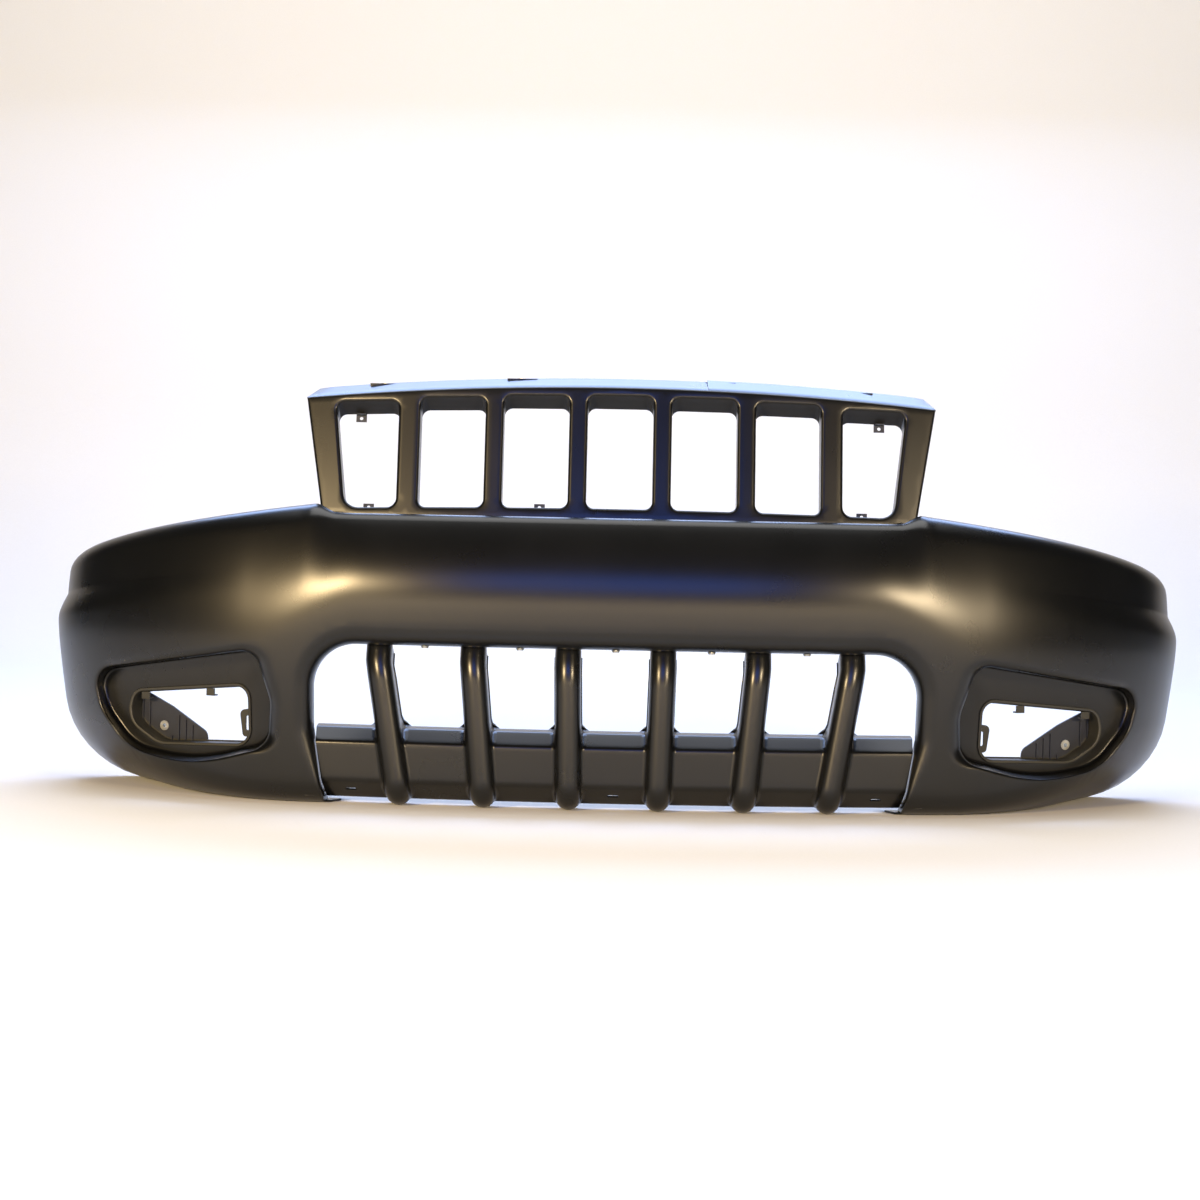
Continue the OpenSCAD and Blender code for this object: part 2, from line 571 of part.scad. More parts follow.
// ---- push-in rivets ----
rivet_bore = 2.5;
module rivet_body(side) color(dark) at_side(side) translate([rivet.x, rivet.y, tab_z - 0.1]) difference() {
    union() {
        translate([0, 0, -2.4]) cylinder(h = 2.4, r = 9);
        cylinder(h = 15, r = 4);
    }
    translate([0, 0, -5]) cylinder(h = 30, r = rivet_bore);
}
module rivet_pin(side) color(black) at_side(side) translate([rivet.x, rivet.y, tab_z - 0.1]) {
    translate([0, 0, -4.6]) cylinder(h = 2.1, r = 7);
    translate([0, 0, -3]) cylinder(h = 15, r = rivet_bore - 0.05);
}

bumper_cover();
grille_surround();
lower_grille();
fog_bezel(-1);  // fog_bezel_left
fog_bezel(1);  // fog_bezel_right
fog_bracket(-1);  // fog_bracket_left
fog_bracket(1);  // fog_bracket_right
fog_lamp_nut(-1);  // fog_lamp_nut_left
fog_lamp_nut(1);  // fog_lamp_nut_right
fog_bracket_screws(-1);  // fog_bracket_screws_left
fog_bracket_screws(1);  // fog_bracket_screws_right
fender_bracket(-1);  // fender_bracket_left
fender_bracket(1);  // fender_bracket_right
fender_screws(-1);  // fender_screws_left
fender_screws(1);  // fender_screws_right
surround_screws();
surround_u_nuts();
mount_sleeves();
slot_clips_lower();
slot_clips_upper();
lower_grille_screws();
rivet_body(-1);  // rivet_body_left
rivet_body(1);  // rivet_body_right
rivet_pin(-1);  // rivet_pin_left
rivet_pin(1);  // rivet_pin_right
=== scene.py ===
import math

import bmesh
import bpy
import numpy as np
from mathutils import Matrix, Vector
from mathutils.geometry import delaunay_2d_cdt


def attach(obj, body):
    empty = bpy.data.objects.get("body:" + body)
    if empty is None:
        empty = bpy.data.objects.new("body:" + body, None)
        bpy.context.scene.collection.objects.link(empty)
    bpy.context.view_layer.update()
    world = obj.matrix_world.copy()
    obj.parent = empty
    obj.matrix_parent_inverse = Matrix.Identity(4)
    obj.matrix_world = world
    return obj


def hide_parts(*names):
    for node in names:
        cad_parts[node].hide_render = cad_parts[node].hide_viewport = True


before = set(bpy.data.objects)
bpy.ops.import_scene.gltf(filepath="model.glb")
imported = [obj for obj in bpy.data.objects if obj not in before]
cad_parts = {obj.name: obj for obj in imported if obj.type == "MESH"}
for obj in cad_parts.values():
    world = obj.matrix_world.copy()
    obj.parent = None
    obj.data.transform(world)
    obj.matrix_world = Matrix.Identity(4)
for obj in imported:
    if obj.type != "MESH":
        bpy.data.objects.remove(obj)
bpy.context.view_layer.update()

mm = 0.001
print("frame loaded")

# shapes that follow the part's own curves, worked out in mm and degrees
cover = {
    "halfWidth": 900, "planLength": 480, "planSquare": 2.6, "noseY": 222.75, "endAngle": 88.8,
    "notchZ": 427, "notchAngle": 24.5, "shoulderZ": 440, "shoulderFall": 1.6,
    "noseZ": 310, "noseDrop": 60, "crownMid": 42, "crownEnd": 8, "lean": 0.15,
    "tuckMid": 35, "tuckEnd": 125, "ledgeStep": 13, "ledgeHeight": 38, "footWidth": 24,
    "notchSkew": 8, "shelfDrop": 6, "wheelRadius": 440, "wheelY": 577.25, "wheelZ": 80,
    "wall": 3, "columnStep": 7,
}
arch = {"x": 441, "footX": 420, "z": 237, "radius": 65, "roll": 28, "footRoll": 5, "return": 39}
pocket = {
    "corners": [(794, 182, 30), (528, 225, 24), (504, 150, 60), (508, 82, 34), (628, 49, 260),
                (732, 66, 80), (778, 122, 90)],
    "rollUp": 13, "rollDown": 3.5, "rollIn": 24, "rollOut": 7, "draft": 2, "floorRound": 5,
}
lamp = {
    "x": 500, "y": 115 - 222.75, "turn": 21,
    "corners": [(247, 149, 20), (50, 167, 20), (46, 80, 22), (204, 75, 45), (257, 107, 32)],
    "bosses": [(150, 55), (283, 140)], "nut": (210, 97),
}
rivet = {                                  # its place behind the nose, and the tabs that it joins
    "x": 438, "depth": 138, "side": 452, "rear": 152, "coverTop": 15, "insertTop": 18.4,
}


def ease(a, b, v):
    u = np.clip((v - a) / (b - a), 0, 1)
    return u * u * (3 - 2 * u)


def mix(a, b, u):
    return a + (b - a) * u


def planX(t):
    return cover["halfWidth"] * np.sign(t) * np.abs(np.sin(np.radians(t))) ** (2 / cover["planSquare"])


def planY(t):
    c = np.abs(np.cos(np.radians(t))) ** (2 / cover["planSquare"])
    return cover["planLength"] * (1 - c) - cover["noseY"]


def planAngle(x):
    u = np.minimum(np.abs(x) / cover["halfWidth"], 1) ** (cover["planSquare"] / 2)
    return np.degrees(np.sign(x) * np.arcsin(u))


def planNormal(t):
    k = 2 * (cover["planSquare"] - 1) / cover["planSquare"]
    nx = np.sign(t) * np.abs(np.sin(np.radians(t))) ** k / cover["halfWidth"]
    ny = -np.abs(np.cos(np.radians(t))) ** k / cover["planLength"]
    length = np.hypot(nx, ny)
    return nx / length, ny / length


def noseHeight(a):
    return cover["noseZ"] - cover["noseDrop"] * ease(18, 31, a)


def topHeight(a, late=0):
    n = cover["notchAngle"]
    shoulder = cover["shoulderZ"] - cover["shoulderFall"] * np.maximum(a - n, 0)
    return mix(cover["notchZ"], shoulder, ease(n - 3 + late, n + late, a))


def topRound(a):
    return mix(10, 28, ease(cover["notchAngle"] - 3, cover["notchAngle"] + 1, a))


def shelfDepth(a):
    return mix(160, 88, ease(cover["notchAngle"], cover["notchAngle"] + 6, a))


def tuckRound(a):
    return mix(cover["tuckMid"], cover["tuckEnd"], ease(28, 62, a))


def ledgeHeight(a):
    return 342 - 1.08 * (a - 30)


def inset(a, z):                           # how far the skin stands in from the plan curve
    zn, zt, rt = noseHeight(a), topHeight(a), tuckRound(a)
    back = mix(cover["crownMid"], cover["crownEnd"], ease(15, 80, a))
    back = back * (np.maximum(z - zn, 0) / (zt - zn)) ** 2
    under = np.maximum(zn - z, 0)
    under = cover["lean"] * under * under / (under + 50)
    low = np.clip(rt - z, 0, rt)
    tuck = rt - np.sqrt(np.maximum(rt * rt - low * low, 0))
    rise = np.clip((z - ledgeHeight(a) + cover["ledgeHeight"]) / cover["ledgeHeight"], 0, 1)
    facet = mix(rise * rise * (3 - 2 * rise), rise ** 1.8, 0.75)     # soft below, creased above
    return back + under + tuck + cover["ledgeStep"] * ease(31, 60, a) * facet


def skin(t, o, z):
    nx, ny = planNormal(t)
    return np.stack([planX(t) - nx * o, planY(t) - ny * o, z + 0 * t], -1)


def skinAngle(x, z, extra=0):
    t = planAngle(x)
    for i in range(12):
        t = planAngle(x + planNormal(t)[0] * (inset(np.abs(t), z) + extra))
    return t


def skinY(x, z):
    t = skinAngle(x, z)
    return skin(t, inset(np.abs(t), z), z)[..., 1]


# outlines
def unit(v):
    return v / np.maximum(np.linalg.norm(v, axis=-1, keepdims=True), 1e-9)


def cornerArc(a, b, c, steps):             # points of the round in corner b, whose third value is its radius
    a, r, b, c = (np.array(a[:2], float), b[2], np.array(b[:2], float), np.array(c[:2], float))
    u, v = unit(a - b), unit(c - b)
    half = math.acos(float(u @ v)) / 2
    middle = b + unit(u + v) * r / math.sin(half)
    s, e = b + u * r / math.tan(half) - middle, b + v * r / math.tan(half) - middle
    first = math.atan2(s[1], s[0])
    turn = (math.atan2(e[1], e[0]) - first + math.pi) % (2 * math.pi) - math.pi
    ways = [first + turn * k / steps for k in range(steps + 1)]
    return [middle + r * np.array((math.cos(f), math.sin(f))) for f in ways]


def roundCorners(corners, steps):          # a closed outline with its corners rounded
    n = len(corners)
    return np.array([
        p for i in range(n) for p in cornerArc(corners[i - 1], corners[i], corners[(i + 1) % n], steps)])


def circle(step):                          # a closed circle of radius 1, with a point every step degrees
    turn = np.radians(np.arange(0, 360, step))
    return np.stack([np.cos(turn), np.sin(turn)], -1)


def divide(points, step, closed=True):     # the same outline with no gap longer than step
    ends = np.roll(points, -1, 0) if closed else points[1:]
    out = []
    for a, b in zip(points, ends):
        n = max(1, math.ceil(np.linalg.norm(b - a) / step))
        out += [a + (b - a) * k / n for k in range(n)]
    return np.array(out if closed else out + [points[-1]])


def outward(points, inside, closed=True):  # unit normals that point away from the opening
    if closed:
        run = np.roll(points, -1, 0) - np.roll(points, 1, 0)
    else:
        run = np.gradient(points, axis=0)
    n = unit(np.stack([run[:, 1], -run[:, 0]], -1))
    away = np.sum(n * (points - np.array(inside)), -1).sum()
    return n if away > 0 else -n


def within(points, polygon):               # which points lie inside a polygon
    x, y = points[:, :1], points[:, 1:]
    a, b = polygon, np.roll(polygon, -1, 0)
    rises = (a[:, 1] > y) != (b[:, 1] > y)
    drop = np.where(b[:, 1] == a[:, 1], 1e-9, b[:, 1] - a[:, 1])
    return (rises & (x < (b[:, 0] - a[:, 0]) * (y - a[:, 1]) / drop + a[:, 0])).sum(1) % 2 == 1


def clear(points, lines, gap):             # points that keep their distance from every line's points
    keep = np.ones(len(points), bool)
    for line in lines:
        for part in np.array_split(line, max(1, len(line) // 40)):
            d = np.linalg.norm(points[keep][:, None] - part[None], axis=-1).min(1)
            keep[np.flatnonzero(keep)[d < gap]] = False
    return points[keep]


def mirrored(points):
    return points * np.array((-1,) + (1,) * (points.shape[-1] - 1))


# meshes
class Shape:
    def __init__(self):
        self.points, self.faces = [], []

    def add(self, points, faces):
        n = len(self.points)
        self.points += [tuple(p) for p in points]
        self.faces += [tuple(n + i for i in f) for f in faces]

    def rings(self, rings, closed=True):   # quads between each row of points and the next
        n = len(rings[0])
        last = n if closed else n - 1
        self.add(np.concatenate(rings), [
            (r * n + i, r * n + (i + 1) % n, (r + 1) * n + (i + 1) % n, (r + 1) * n + i)
            for r in range(len(rings) - 1) for i in range(last)])

    # a smooth sheet through free points, cut exactly along closed loops and open lines
    def fill(self, free, loops, lines, place, holes, border=None):
        points = [tuple(p) for p in free]
        edges = []
        for loop in loops:
            n = len(points)
            points += [tuple(p) for p in loop]
            edges += [(n + i, n + (i + 1) % len(loop)) for i in range(len(loop))]
        for line in lines:
            n = len(points)
            points += [tuple(p) for p in line]
            edges += [(n + i, n + i + 1) for i in range(len(line) - 1)]
        flat, _, faces, *_ = delaunay_2d_cdt([Vector(p) for p in points], edges, [], 0, 1e-5)
        flat = np.array([tuple(p) for p in flat])
        faces = np.array([tuple(f) for f in faces])
        middle = flat[faces].mean(1)
        keep = np.ones(len(faces), bool)
        for hole in holes:
            keep &= ~within(middle, hole)
        if border is not None:
            keep &= within(middle, border)
        self.add(place(flat), faces[keep])

    # the shape as an object, its outermost face towards front and its wall behind the skin
    def build(self, name, material, wall=0, front=(0, -1, 0), sharp=40):
        mesh = bpy.data.meshes.new(name)
        mesh.from_pydata([tuple(np.array(p) * mm) for p in self.points], [], self.faces)
        bm = bmesh.new()
        bm.from_mesh(mesh)
        bmesh.ops.remove_doubles(bm, verts=bm.verts, dist=0.05 * mm)
        bmesh.ops.delete(bm, geom=[v for v in bm.verts if not v.link_faces], context="VERTS")
        bmesh.ops.recalc_face_normals(bm, faces=bm.faces)
        way = Vector(front)
        first = max(bm.faces, key=lambda f: f.calc_center_median().dot(way))
        if first.normal.dot(way) < 0:
            bmesh.ops.reverse_faces(bm, faces=bm.faces)
        bm.to_mesh(mesh)
        bm.free()
        obj = bpy.data.objects.new(name, mesh)
        bpy.context.scene.collection.objects.link(obj)
        if wall:
            solid = obj.modifiers.new("wall", "SOLIDIFY")
            solid.thickness, solid.offset = wall * mm, -1
            solid.use_quality_normals = True
            mesh = bpy.data.meshes.new_from_object(obj.evaluated_get(bpy.context.evaluated_depsgraph_get()))
            obj.modifiers.clear()
            obj.data = mesh
            mesh.name = name
        mesh.shade_smooth()
        mesh.set_sharp_from_angle(angle=math.radians(sharp))
        mesh.materials.clear()
        mesh.materials.append(material)
        return obj


# materials
def fromHex(text):                         # sRGB hex to the linear colour that the shader wants
    channels = [int(text[i:i + 2], 16) / 255 for i in (1, 3, 5)]
    return [c / 12.92 if c <= 0.04045 else ((c + 0.055) / 1.055) ** 2.4 for c in channels] + [1]


def addNode(tree, kind, settings=None, links=None):
    node = tree.nodes.new(kind)
    for key, value in (settings or {}).items():
        if hasattr(node, key):
            setattr(node, key, value)
        else:
            node.inputs[key].default_value = value
    for key, (source, output) in (links or {}).items():
        tree.links.new(source.outputs[output], node.inputs[key])
    return node


def startMaterial(name):
    material = bpy.data.materials.new(name)
    material.use_nodes = True
    tree = material.node_tree
    tree.nodes.clear()
    return material, tree


def ramp(node, stops):                     # colour stops of a ramp, as position and hex colour
    while len(node.color_ramp.elements) < len(stops):
        node.color_ramp.elements.new(0.5)
    for element, (place, colour) in zip(node.color_ramp.elements, stops):
        element.position, element.color = place, fromHex(colour)
    return node


perMetre = 1000                            # a pattern of x mm has a scale of perMetre / x


def mouldedPlastic(name, s):               # patches of tone, a slight orange peel, a fine grain and dust
    material, tree = startMaterial(name)
    place = addNode(tree, "ShaderNodeTexCoord")
    broad = addNode(
        tree, "ShaderNodeTexNoise", {"Scale": perMetre / s["patchSize"], "Detail": 5, "Roughness": 0.6},
        {"Vector": (place, "Object")})
    peel = addNode(
        tree, "ShaderNodeTexNoise", {"Scale": perMetre / s["peelSize"], "Detail": 3, "Roughness": 0.55},
        {"Vector": (place, "Object")})
    grain = addNode(tree, "ShaderNodeTexNoise", {"Scale": perMetre / s["grainSize"], "Detail": 2},
                    {"Vector": (place, "Object")})
    tone = addNode(tree, "ShaderNodeValToRGB", {}, {"Fac": (broad, "Fac")})
    ramp(tone, [(0.3, s["dark"]), (0.7, s["light"])])
    specks = addNode(tree, "ShaderNodeTexVoronoi", {"Scale": perMetre / s["dustGap"], "Randomness": 1},
                     {"Vector": (place, "Object")})
    dust = addNode(
        tree, "ShaderNodeMapRange", {"From Min": s["dustRadius"], "From Max": 0, "To Max": s["dust"]},
        {"Value": (specks, "Distance")})
    dusty = addNode(
        tree, "ShaderNodeMix", {"data_type": "RGBA"}, {"Factor": (dust, "Result"), "A": (tone, "Color")})
    dusty.inputs["B"].default_value = fromHex(s["dustColour"])
    gloss = addNode(tree, "ShaderNodeMapRange", {"To Min": s["rough"][0], "To Max": s["rough"][1]},
                    {"Value": (broad, "Fac")})
    wavy = addNode(tree, "ShaderNodeBump", {"Strength": s["peelStrength"], "Distance": s["peelDepth"] * mm},
                   {"Height": (peel, "Fac")})
    fine = addNode(tree, "ShaderNodeBump", {"Strength": s["grainStrength"], "Distance": s["grainDepth"] * mm},
                   {"Height": (grain, "Fac"), "Normal": (wavy, "Normal")})
    shader = addNode(
        tree, "ShaderNodeBsdfPrincipled", {"IOR": s["ior"]},
        {"Base Color": (dusty, "Result"), "Roughness": (gloss, "Result"), "Normal": (fine, "Normal")})
    addNode(tree, "ShaderNodeOutputMaterial", {}, {"Surface": (shader, "BSDF")})
    return material


# satin black primer on moulded polypropylene: soft, broad highlights on an almost black skin
satinPrimer = {
    "dark": "#08090a", "light": "#0d0e0f", "patchSize": 180, "rough": (0.25, 0.31), "ior": 1.5,
    "peelSize": 3, "peelStrength": 0.05, "peelDepth": 0.05,
    "grainSize": 0.8, "grainStrength": 0.04, "grainDepth": 0.02,
    "dust": 0.25, "dustGap": 9, "dustRadius": 0.03, "dustColour": "#6b665c",
}
primedPlastic = mouldedPlastic("satinPrimedPolypropylene", satinPrimer)


# the undersides of the slots keep their raw, coarser moulded face, which stays black at a glancing view; its
# darker colour, given only to faces that look down, is painted shade
rawFacePaintedShade = {
    "dark": "#050506", "light": "#08090a", "patchSize": 90, "rough": (0.72, 0.82), "ior": 1.5,
    "peelSize": 3, "peelStrength": 0.1, "peelDepth": 0.05,
    "grainSize": 0.8, "grainStrength": 0.3, "grainDepth": 0.05,
    "dust": 0.25, "dustGap": 9, "dustRadius": 0.03, "dustColour": "#6b665c",
}
rawPlasticPaintedShade = mouldedPlastic("unprimedPolypropyleneWithPaintedShade", rawFacePaintedShade)


def leaveRawWithPaintedShade(obj, low, high, tilt):        # faces between two heights that look down by more than tilt get the darker raw material, as painted shade
    obj.data.materials.append(rawPlasticPaintedShade)
    for face in obj.data.polygons:
        if low < face.center.z / mm < high and face.normal.z < -tilt:
            face.material_index = 1


# cover
arcAngles = np.linspace(-cover["endAngle"], cover["endAngle"], 4001)
arcSteps = np.hypot(np.diff(planX(arcAngles)), np.diff(planY(arcAngles)))
arcLength = np.concatenate([[0], np.cumsum(arcSteps)]) - arcSteps.sum() / 2

# rows of the cover, from the rear of the foot flange over the face to the rear of the shelf
rowMarks = np.array([-1, 0, 1, 2, 3, 4, 5])
rowSpots = np.array([-24, 0, 24, 84, 384, 414, 534])


def rowSkin(t, w):                         # inset and height of row w at plan angle t
    a = np.abs(t)
    zt, r, rt = topHeight(a), topRound(a), tuckRound(a)
    f = np.radians(90 * np.clip(w - 3, 0, 1))
    z = np.select(
        [w <= 1, w <= 2, w <= 3, w <= 4],
        [0 * t, rt * (1 - np.cos(np.radians(90 * (w - 1)))),
         mix(rt, zt - r, w - 2), zt - r * (1 - np.sin(f))],
        topHeight(a, cover["notchSkew"] * np.clip(w - 4, 0, 1))
        - cover["shelfDrop"] * ease(0, 1, 2 * (w - 4)))
    o = inset(a, z)
    o = np.select(
        [w <= 1, w <= 3, w <= 4], [o + cover["footWidth"] * (1 - w), o, o + r * (1 - np.cos(f))],
        mix(inset(a, zt) + r, shelfDepth(a), w - 4))
    return o, z


def rowAt(t, z):                           # the row that passes through height z of the face
    a = np.abs(t)
    rt, top = tuckRound(a), topHeight(a) - topRound(a)
    low = 1 + np.degrees(np.arccos(np.clip(1 - z / rt, -1, 1))) / 90
    return np.where(z < rt, low, 2 + (z - rt) / (top - rt))


endRows = np.linspace(-0.5, 5, 441)
endTry = np.linspace(55, cover["endAngle"], 1200)
endAngles = []                             # where the wheel cut ends each row
for row in endRows:
    o, z = rowSkin(endTry, row + 0 * endTry)
    drop = np.maximum(cover["wheelRadius"] ** 2 - (z - cover["wheelZ"]) ** 2, 0)
    inFront = skin(endTry, o, z)[:, 1] <= cover["wheelY"] - np.sqrt(drop)
    endAngles.append(endTry[np.flatnonzero(inFront)[-1]])
halfRun = 1150


def spread(t, w):                          # a place on the cover as a point of the flat sheet
    end = np.interp(np.interp(w, endRows, endAngles), arcAngles, arcLength)
    return np.stack([
        np.interp(t, arcAngles, arcLength) / end * halfRun, np.interp(w, rowMarks, rowSpots)], -1)


def unspread(p):
    w = np.interp(p[:, 1], rowSpots, rowMarks)
    end = np.interp(np.interp(w, endRows, endAngles), arcAngles, arcLength)
    return np.interp(p[:, 0] / halfRun * end, arcLength, arcAngles), w


def placeOnCover(p):
    t, w = unspread(p)
    o, z = rowSkin(t, w)
    return skin(t, o, z)


def rolledEdge(outline, normals, radius, steps=7):   # rings that turn the skin back into an opening
    rings = []
    for k in range(steps + 1):
        f = math.radians(90 * k / steps)
        p = outline + normals * (radius * (1 - math.sin(f)))[:, None]
        rings.append(np.stack([p[:, 0], skinY(p[:, 0], p[:, 1]) + radius * (1 - math.cos(f)), p[:, 1]], -1))
    return rings


def ontoSheet(p):                          # an outline in x and z as a line of the flat sheet
    t = skinAngle(p[:, 0], p[:, 1])
    return spread(t, rowAt(t, p[:, 1]))


def archOutline(g, low=4):
    a = arch
    side = [(mix(a["footX"], a["x"], 0.4) + g, 30), (a["x"] + g, 112)]
    side.insert(0, (mix(a["footX"] + g, side[0][0], (low + 10) / 40), low))
    turn = np.radians(np.linspace(0, 90, 19))
    r = a["radius"]
    right = side + [(a["x"] - r + (r + g) * math.cos(f), a["z"] - r + (r + g) * math.sin(f)) for f in turn]
    right = np.array(right)
    return np.concatenate([right, mirrored(right)[::-1]])


def slotLoop(t, depth, length, width):     # a rounded slot through the shelf, along the plan curve
    turn = np.radians(np.arange(0, 360, 30))
    end = np.interp(t, arcAngles, arcLength)
    run = end + np.sign(np.cos(turn)) * (length - width) / 2 + width / 2 * np.cos(turn)
    tt = np.interp(run, arcLength, arcAngles)
    a = np.abs(tt)
    start = inset(a, topHeight(a)) + topRound(a)
    return spread(tt, 4 + (depth + width / 2 * np.sin(turn) - start) / (shelfDepth(a) - start))


def joined(name, objects):                 # several objects as one
    bm = bmesh.new()
    for obj in objects:
        bm.from_mesh(obj.data)
    mesh = bpy.data.meshes.new(name)
    bm.to_mesh(mesh)
    bm.free()
    mesh.materials.append(objects[0].data.materials[0])
    for obj in objects:
        bpy.data.objects.remove(obj)
    whole = bpy.data.objects.new(name, mesh)
    bpy.context.scene.collection.objects.link(whole)
    return whole


def lampPlace(p, side=1):                  # from the lamp's own frame (along, depth, height) to the part's
    turn = math.radians(lamp["turn"])
    x = lamp["x"] + p[..., 0] * math.cos(turn) - p[..., 1] * math.sin(turn)
    y = lamp["y"] + p[..., 0] * math.sin(turn) + p[..., 1] * math.cos(turn)
    return np.stack([x * side, y, p[..., 2]], -1)


def makeCover():
    shape = Shape()
    loops, holes = [], []

    # arch: rolled edge, then the flange that returns behind it
    outline = divide(archOutline(0), 6, False)
    normals = outward(outline, (0, 100), False)
    roll = mix(arch["footRoll"], arch["roll"], ease(10, 130, outline[:, 1]))
    rings = rolledEdge(outline, normals, roll)
    front = skinY(outline[:, 0], outline[:, 1])
    rings.append(np.stack([outline[:, 0], front + arch["return"], outline[:, 1]], -1))
    shape.rings(rings, False)
    edge = ontoSheet(outline + normals * roll[:, None])
    foot = []
    for w in (1, 0.5, 0.02, -0.3):         # straight through the foot flange
        end = np.interp(np.interp(w, endRows, endAngles), arcAngles, arcLength)
        t = np.interp(edge[0, 0] / halfRun * end, arcLength, arcAngles)
        foot.append(spread(np.array([t]), np.array([w]))[0])
    foot = np.array(foot)
    archLoop = np.concatenate([foot[::-1], edge, mirrored(foot)])

    # lamp pockets: a roll that is soft above and inboard and crisp below
    for side in (1, -1):
        outline = divide(roundCorners(pocket["corners"], 10), 5)
        middle = outline.mean(0)
        normals = outward(outline, middle)
        up, out = normals[:, 1], normals[:, 0]
        roll = (pocket["rollUp"] * np.maximum(up, 0) ** 2 + pocket["rollDown"] * np.minimum(up, 0) ** 2
                + pocket["rollOut"] * np.maximum(out, 0) ** 2 + pocket["rollIn"] * np.minimum(out, 0) ** 2)
        rings = rolledEdge(outline, normals, roll)
        slope, f = math.tan(math.radians(lamp["turn"])), pocket["floorRound"]
        steps = [(pocket["draft"] / 2, None)] + [
            (pocket["draft"] + f * (1 - math.cos(a)), f * (1 - math.sin(a)))
            for a in np.radians((0, 22.5, 45, 67.5, 90))]
        for grow, short in steps:
            p = outline - normals * grow
            floor = lamp["y"] + slope * (p[:, 0] - lamp["x"])
            y = (rings[7][:, 1] + floor) / 2 if short is None else floor - short
            rings.append(np.stack([p[:, 0], y, p[:, 1]], -1))
        lampEdge = divide(roundCorners(lamp["corners"], 8), 5)
        lampEdge = lampEdge + 0.6 * outward(lampEdge, lampEdge.mean(0))
        turn = math.radians(lamp["turn"])
        inner = np.stack([lamp["x"] + lampEdge[:, 0] * math.cos(turn), lampEdge[:, 1]], -1)
        rim = rings[-1][:, [0, 2]]
        shape.rings([r if side > 0 else mirrored(r) for r in rings])
        shape.fill([], [rim, inner], [], lambda p: np.stack(
            [p[:, 0] * side, lamp["y"] + slope * (p[:, 0] - lamp["x"]), p[:, 1]], -1), [inner], rim)
        edge = ontoSheet(outline + normals * roll[:, None])
        edge = edge if side > 0 else mirrored(edge)
        loops.append(edge)
        holes.append(edge)

    # slots in the shelf
    for x in (-340, -180, 0, 180, 340):
        t = planAngle(np.array(float(x)))
        loops.append(slotLoop(t, 104 - 8 * (abs(x) > 300), 17, 5))
    for t in (34, 42, 50):
        loops += [slotLoop(t, 74, 16, 6), slotLoop(-t, 74, 16, 6)]
    holes += loops[2:]

    # lines that the sheet keeps: its foot and the crease above each end's facet
    lines = [archLoop, np.array([(-halfRun, 0), (halfRun, 0)])]
    for side in (1, -1):
        for rise in (-1.2, 1.2):
            t = np.linspace(32, 84, 120)
            t = t[t < np.interp(2.7, endRows, endAngles) - 0.3]
            lines.append(spread(side * t, rowAt(t, ledgeHeight(t) + rise)))
    rows = np.unique(np.concatenate([
        np.linspace(0, 1, 4), np.linspace(1, 2, 11), np.linspace(2, 3, 44), np.linspace(3, 4, 8),
        np.linspace(4, 5, 13)]))
    across = np.linspace(-halfRun, halfRun, int(2 * halfRun / cover["columnStep"]) + 1)
    grid = np.stack(np.meshgrid(across, np.interp(rows, rowMarks, rowSpots)), -1).reshape(-1, 2)
    border = np.abs(grid[:, 0]) > halfRun - 1
    border |= (grid[:, 1] < 0.01) | (grid[:, 1] > rowSpots[-1] - 0.01)
    free = clear(grid[~border], loops + lines[:1] + lines[2:], 3.2)
    shape.fill(np.concatenate([grid[border], free]), loops, lines, placeOnCover, holes + [archLoop],
               np.array([(-halfRun - 1, 0), (halfRun + 1, 0), (halfRun + 1, 600), (-halfRun - 1, 600)]))

    # lip that faces the wheel
    spots = np.interp(rows, rowMarks, rowSpots)
    for side in (1, -1):
        edge = placeOnCover(np.stack([np.full(len(rows), side * halfRun, float), spots], -1))
        z = edge[:, 2]
        on = (z > 0.5) & (z < 345) & (rows > 1) & (rows < 3)
        edge, z = edge[on], z[on]
        size = ease(0, 12, z) * (1 - ease(310, 344, z))
        rings = [edge]
        for k in (1, 2, 3, 4):
            f = math.radians(22.5 * k)
            rings.append(edge + size[:, None] * np.array((-side * 4 * (1 - math.cos(f)), 4 * math.sin(f), 0)))
        rings.append(rings[-1] + size[:, None] * np.array((-side * 21, 0, 0)))
        shape.rings(rings, False)
    pieces = [shape.build("skin", primedPlastic, cover["wall"])]

    # tabs for the push-in rivets and bosses for the bracket screws
    ring = circle(15)
    for side in (1, -1):
        r, n = rivet, cover["noseY"]
        ends = roundCorners([(r["side"], 74 - n, 2), (r["side"], r["rear"] - n, 6),
                             (425, r["rear"] - n, 6), (425, 74 - n, 2)], 5)
        bore = np.array((r["x"], r["depth"] - n)) + 4.4 * ring
        tab = Shape()
        tab.fill([], [ends, bore], [], lambda p: np.stack(
            [p[:, 0] * side, p[:, 1], 0 * p[:, 0] + r["coverTop"]], -1), [bore], ends)
        pieces.append(tab.build("tab", primedPlastic, cover["wall"], (0, 0, 1)))
        for u, z in lamp["bosses"]:
            boss = Shape()
            boss.rings([
                lampPlace(np.array([(u + size * p, v, z + size * q) for p, q in ring]), side)
                for size, v in ((6, 1), (6, 23.4), (5.4, 24), (2.6, 24), (2.5, 8))])
            pieces.append(boss.build("boss", primedPlastic))
    return joined("coverShell", pieces)


coverShell = makeCover()
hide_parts("bumper_cover")
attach(coverShell, "cover")
print("cover made, faces:", len(coverShell.data.polygons))


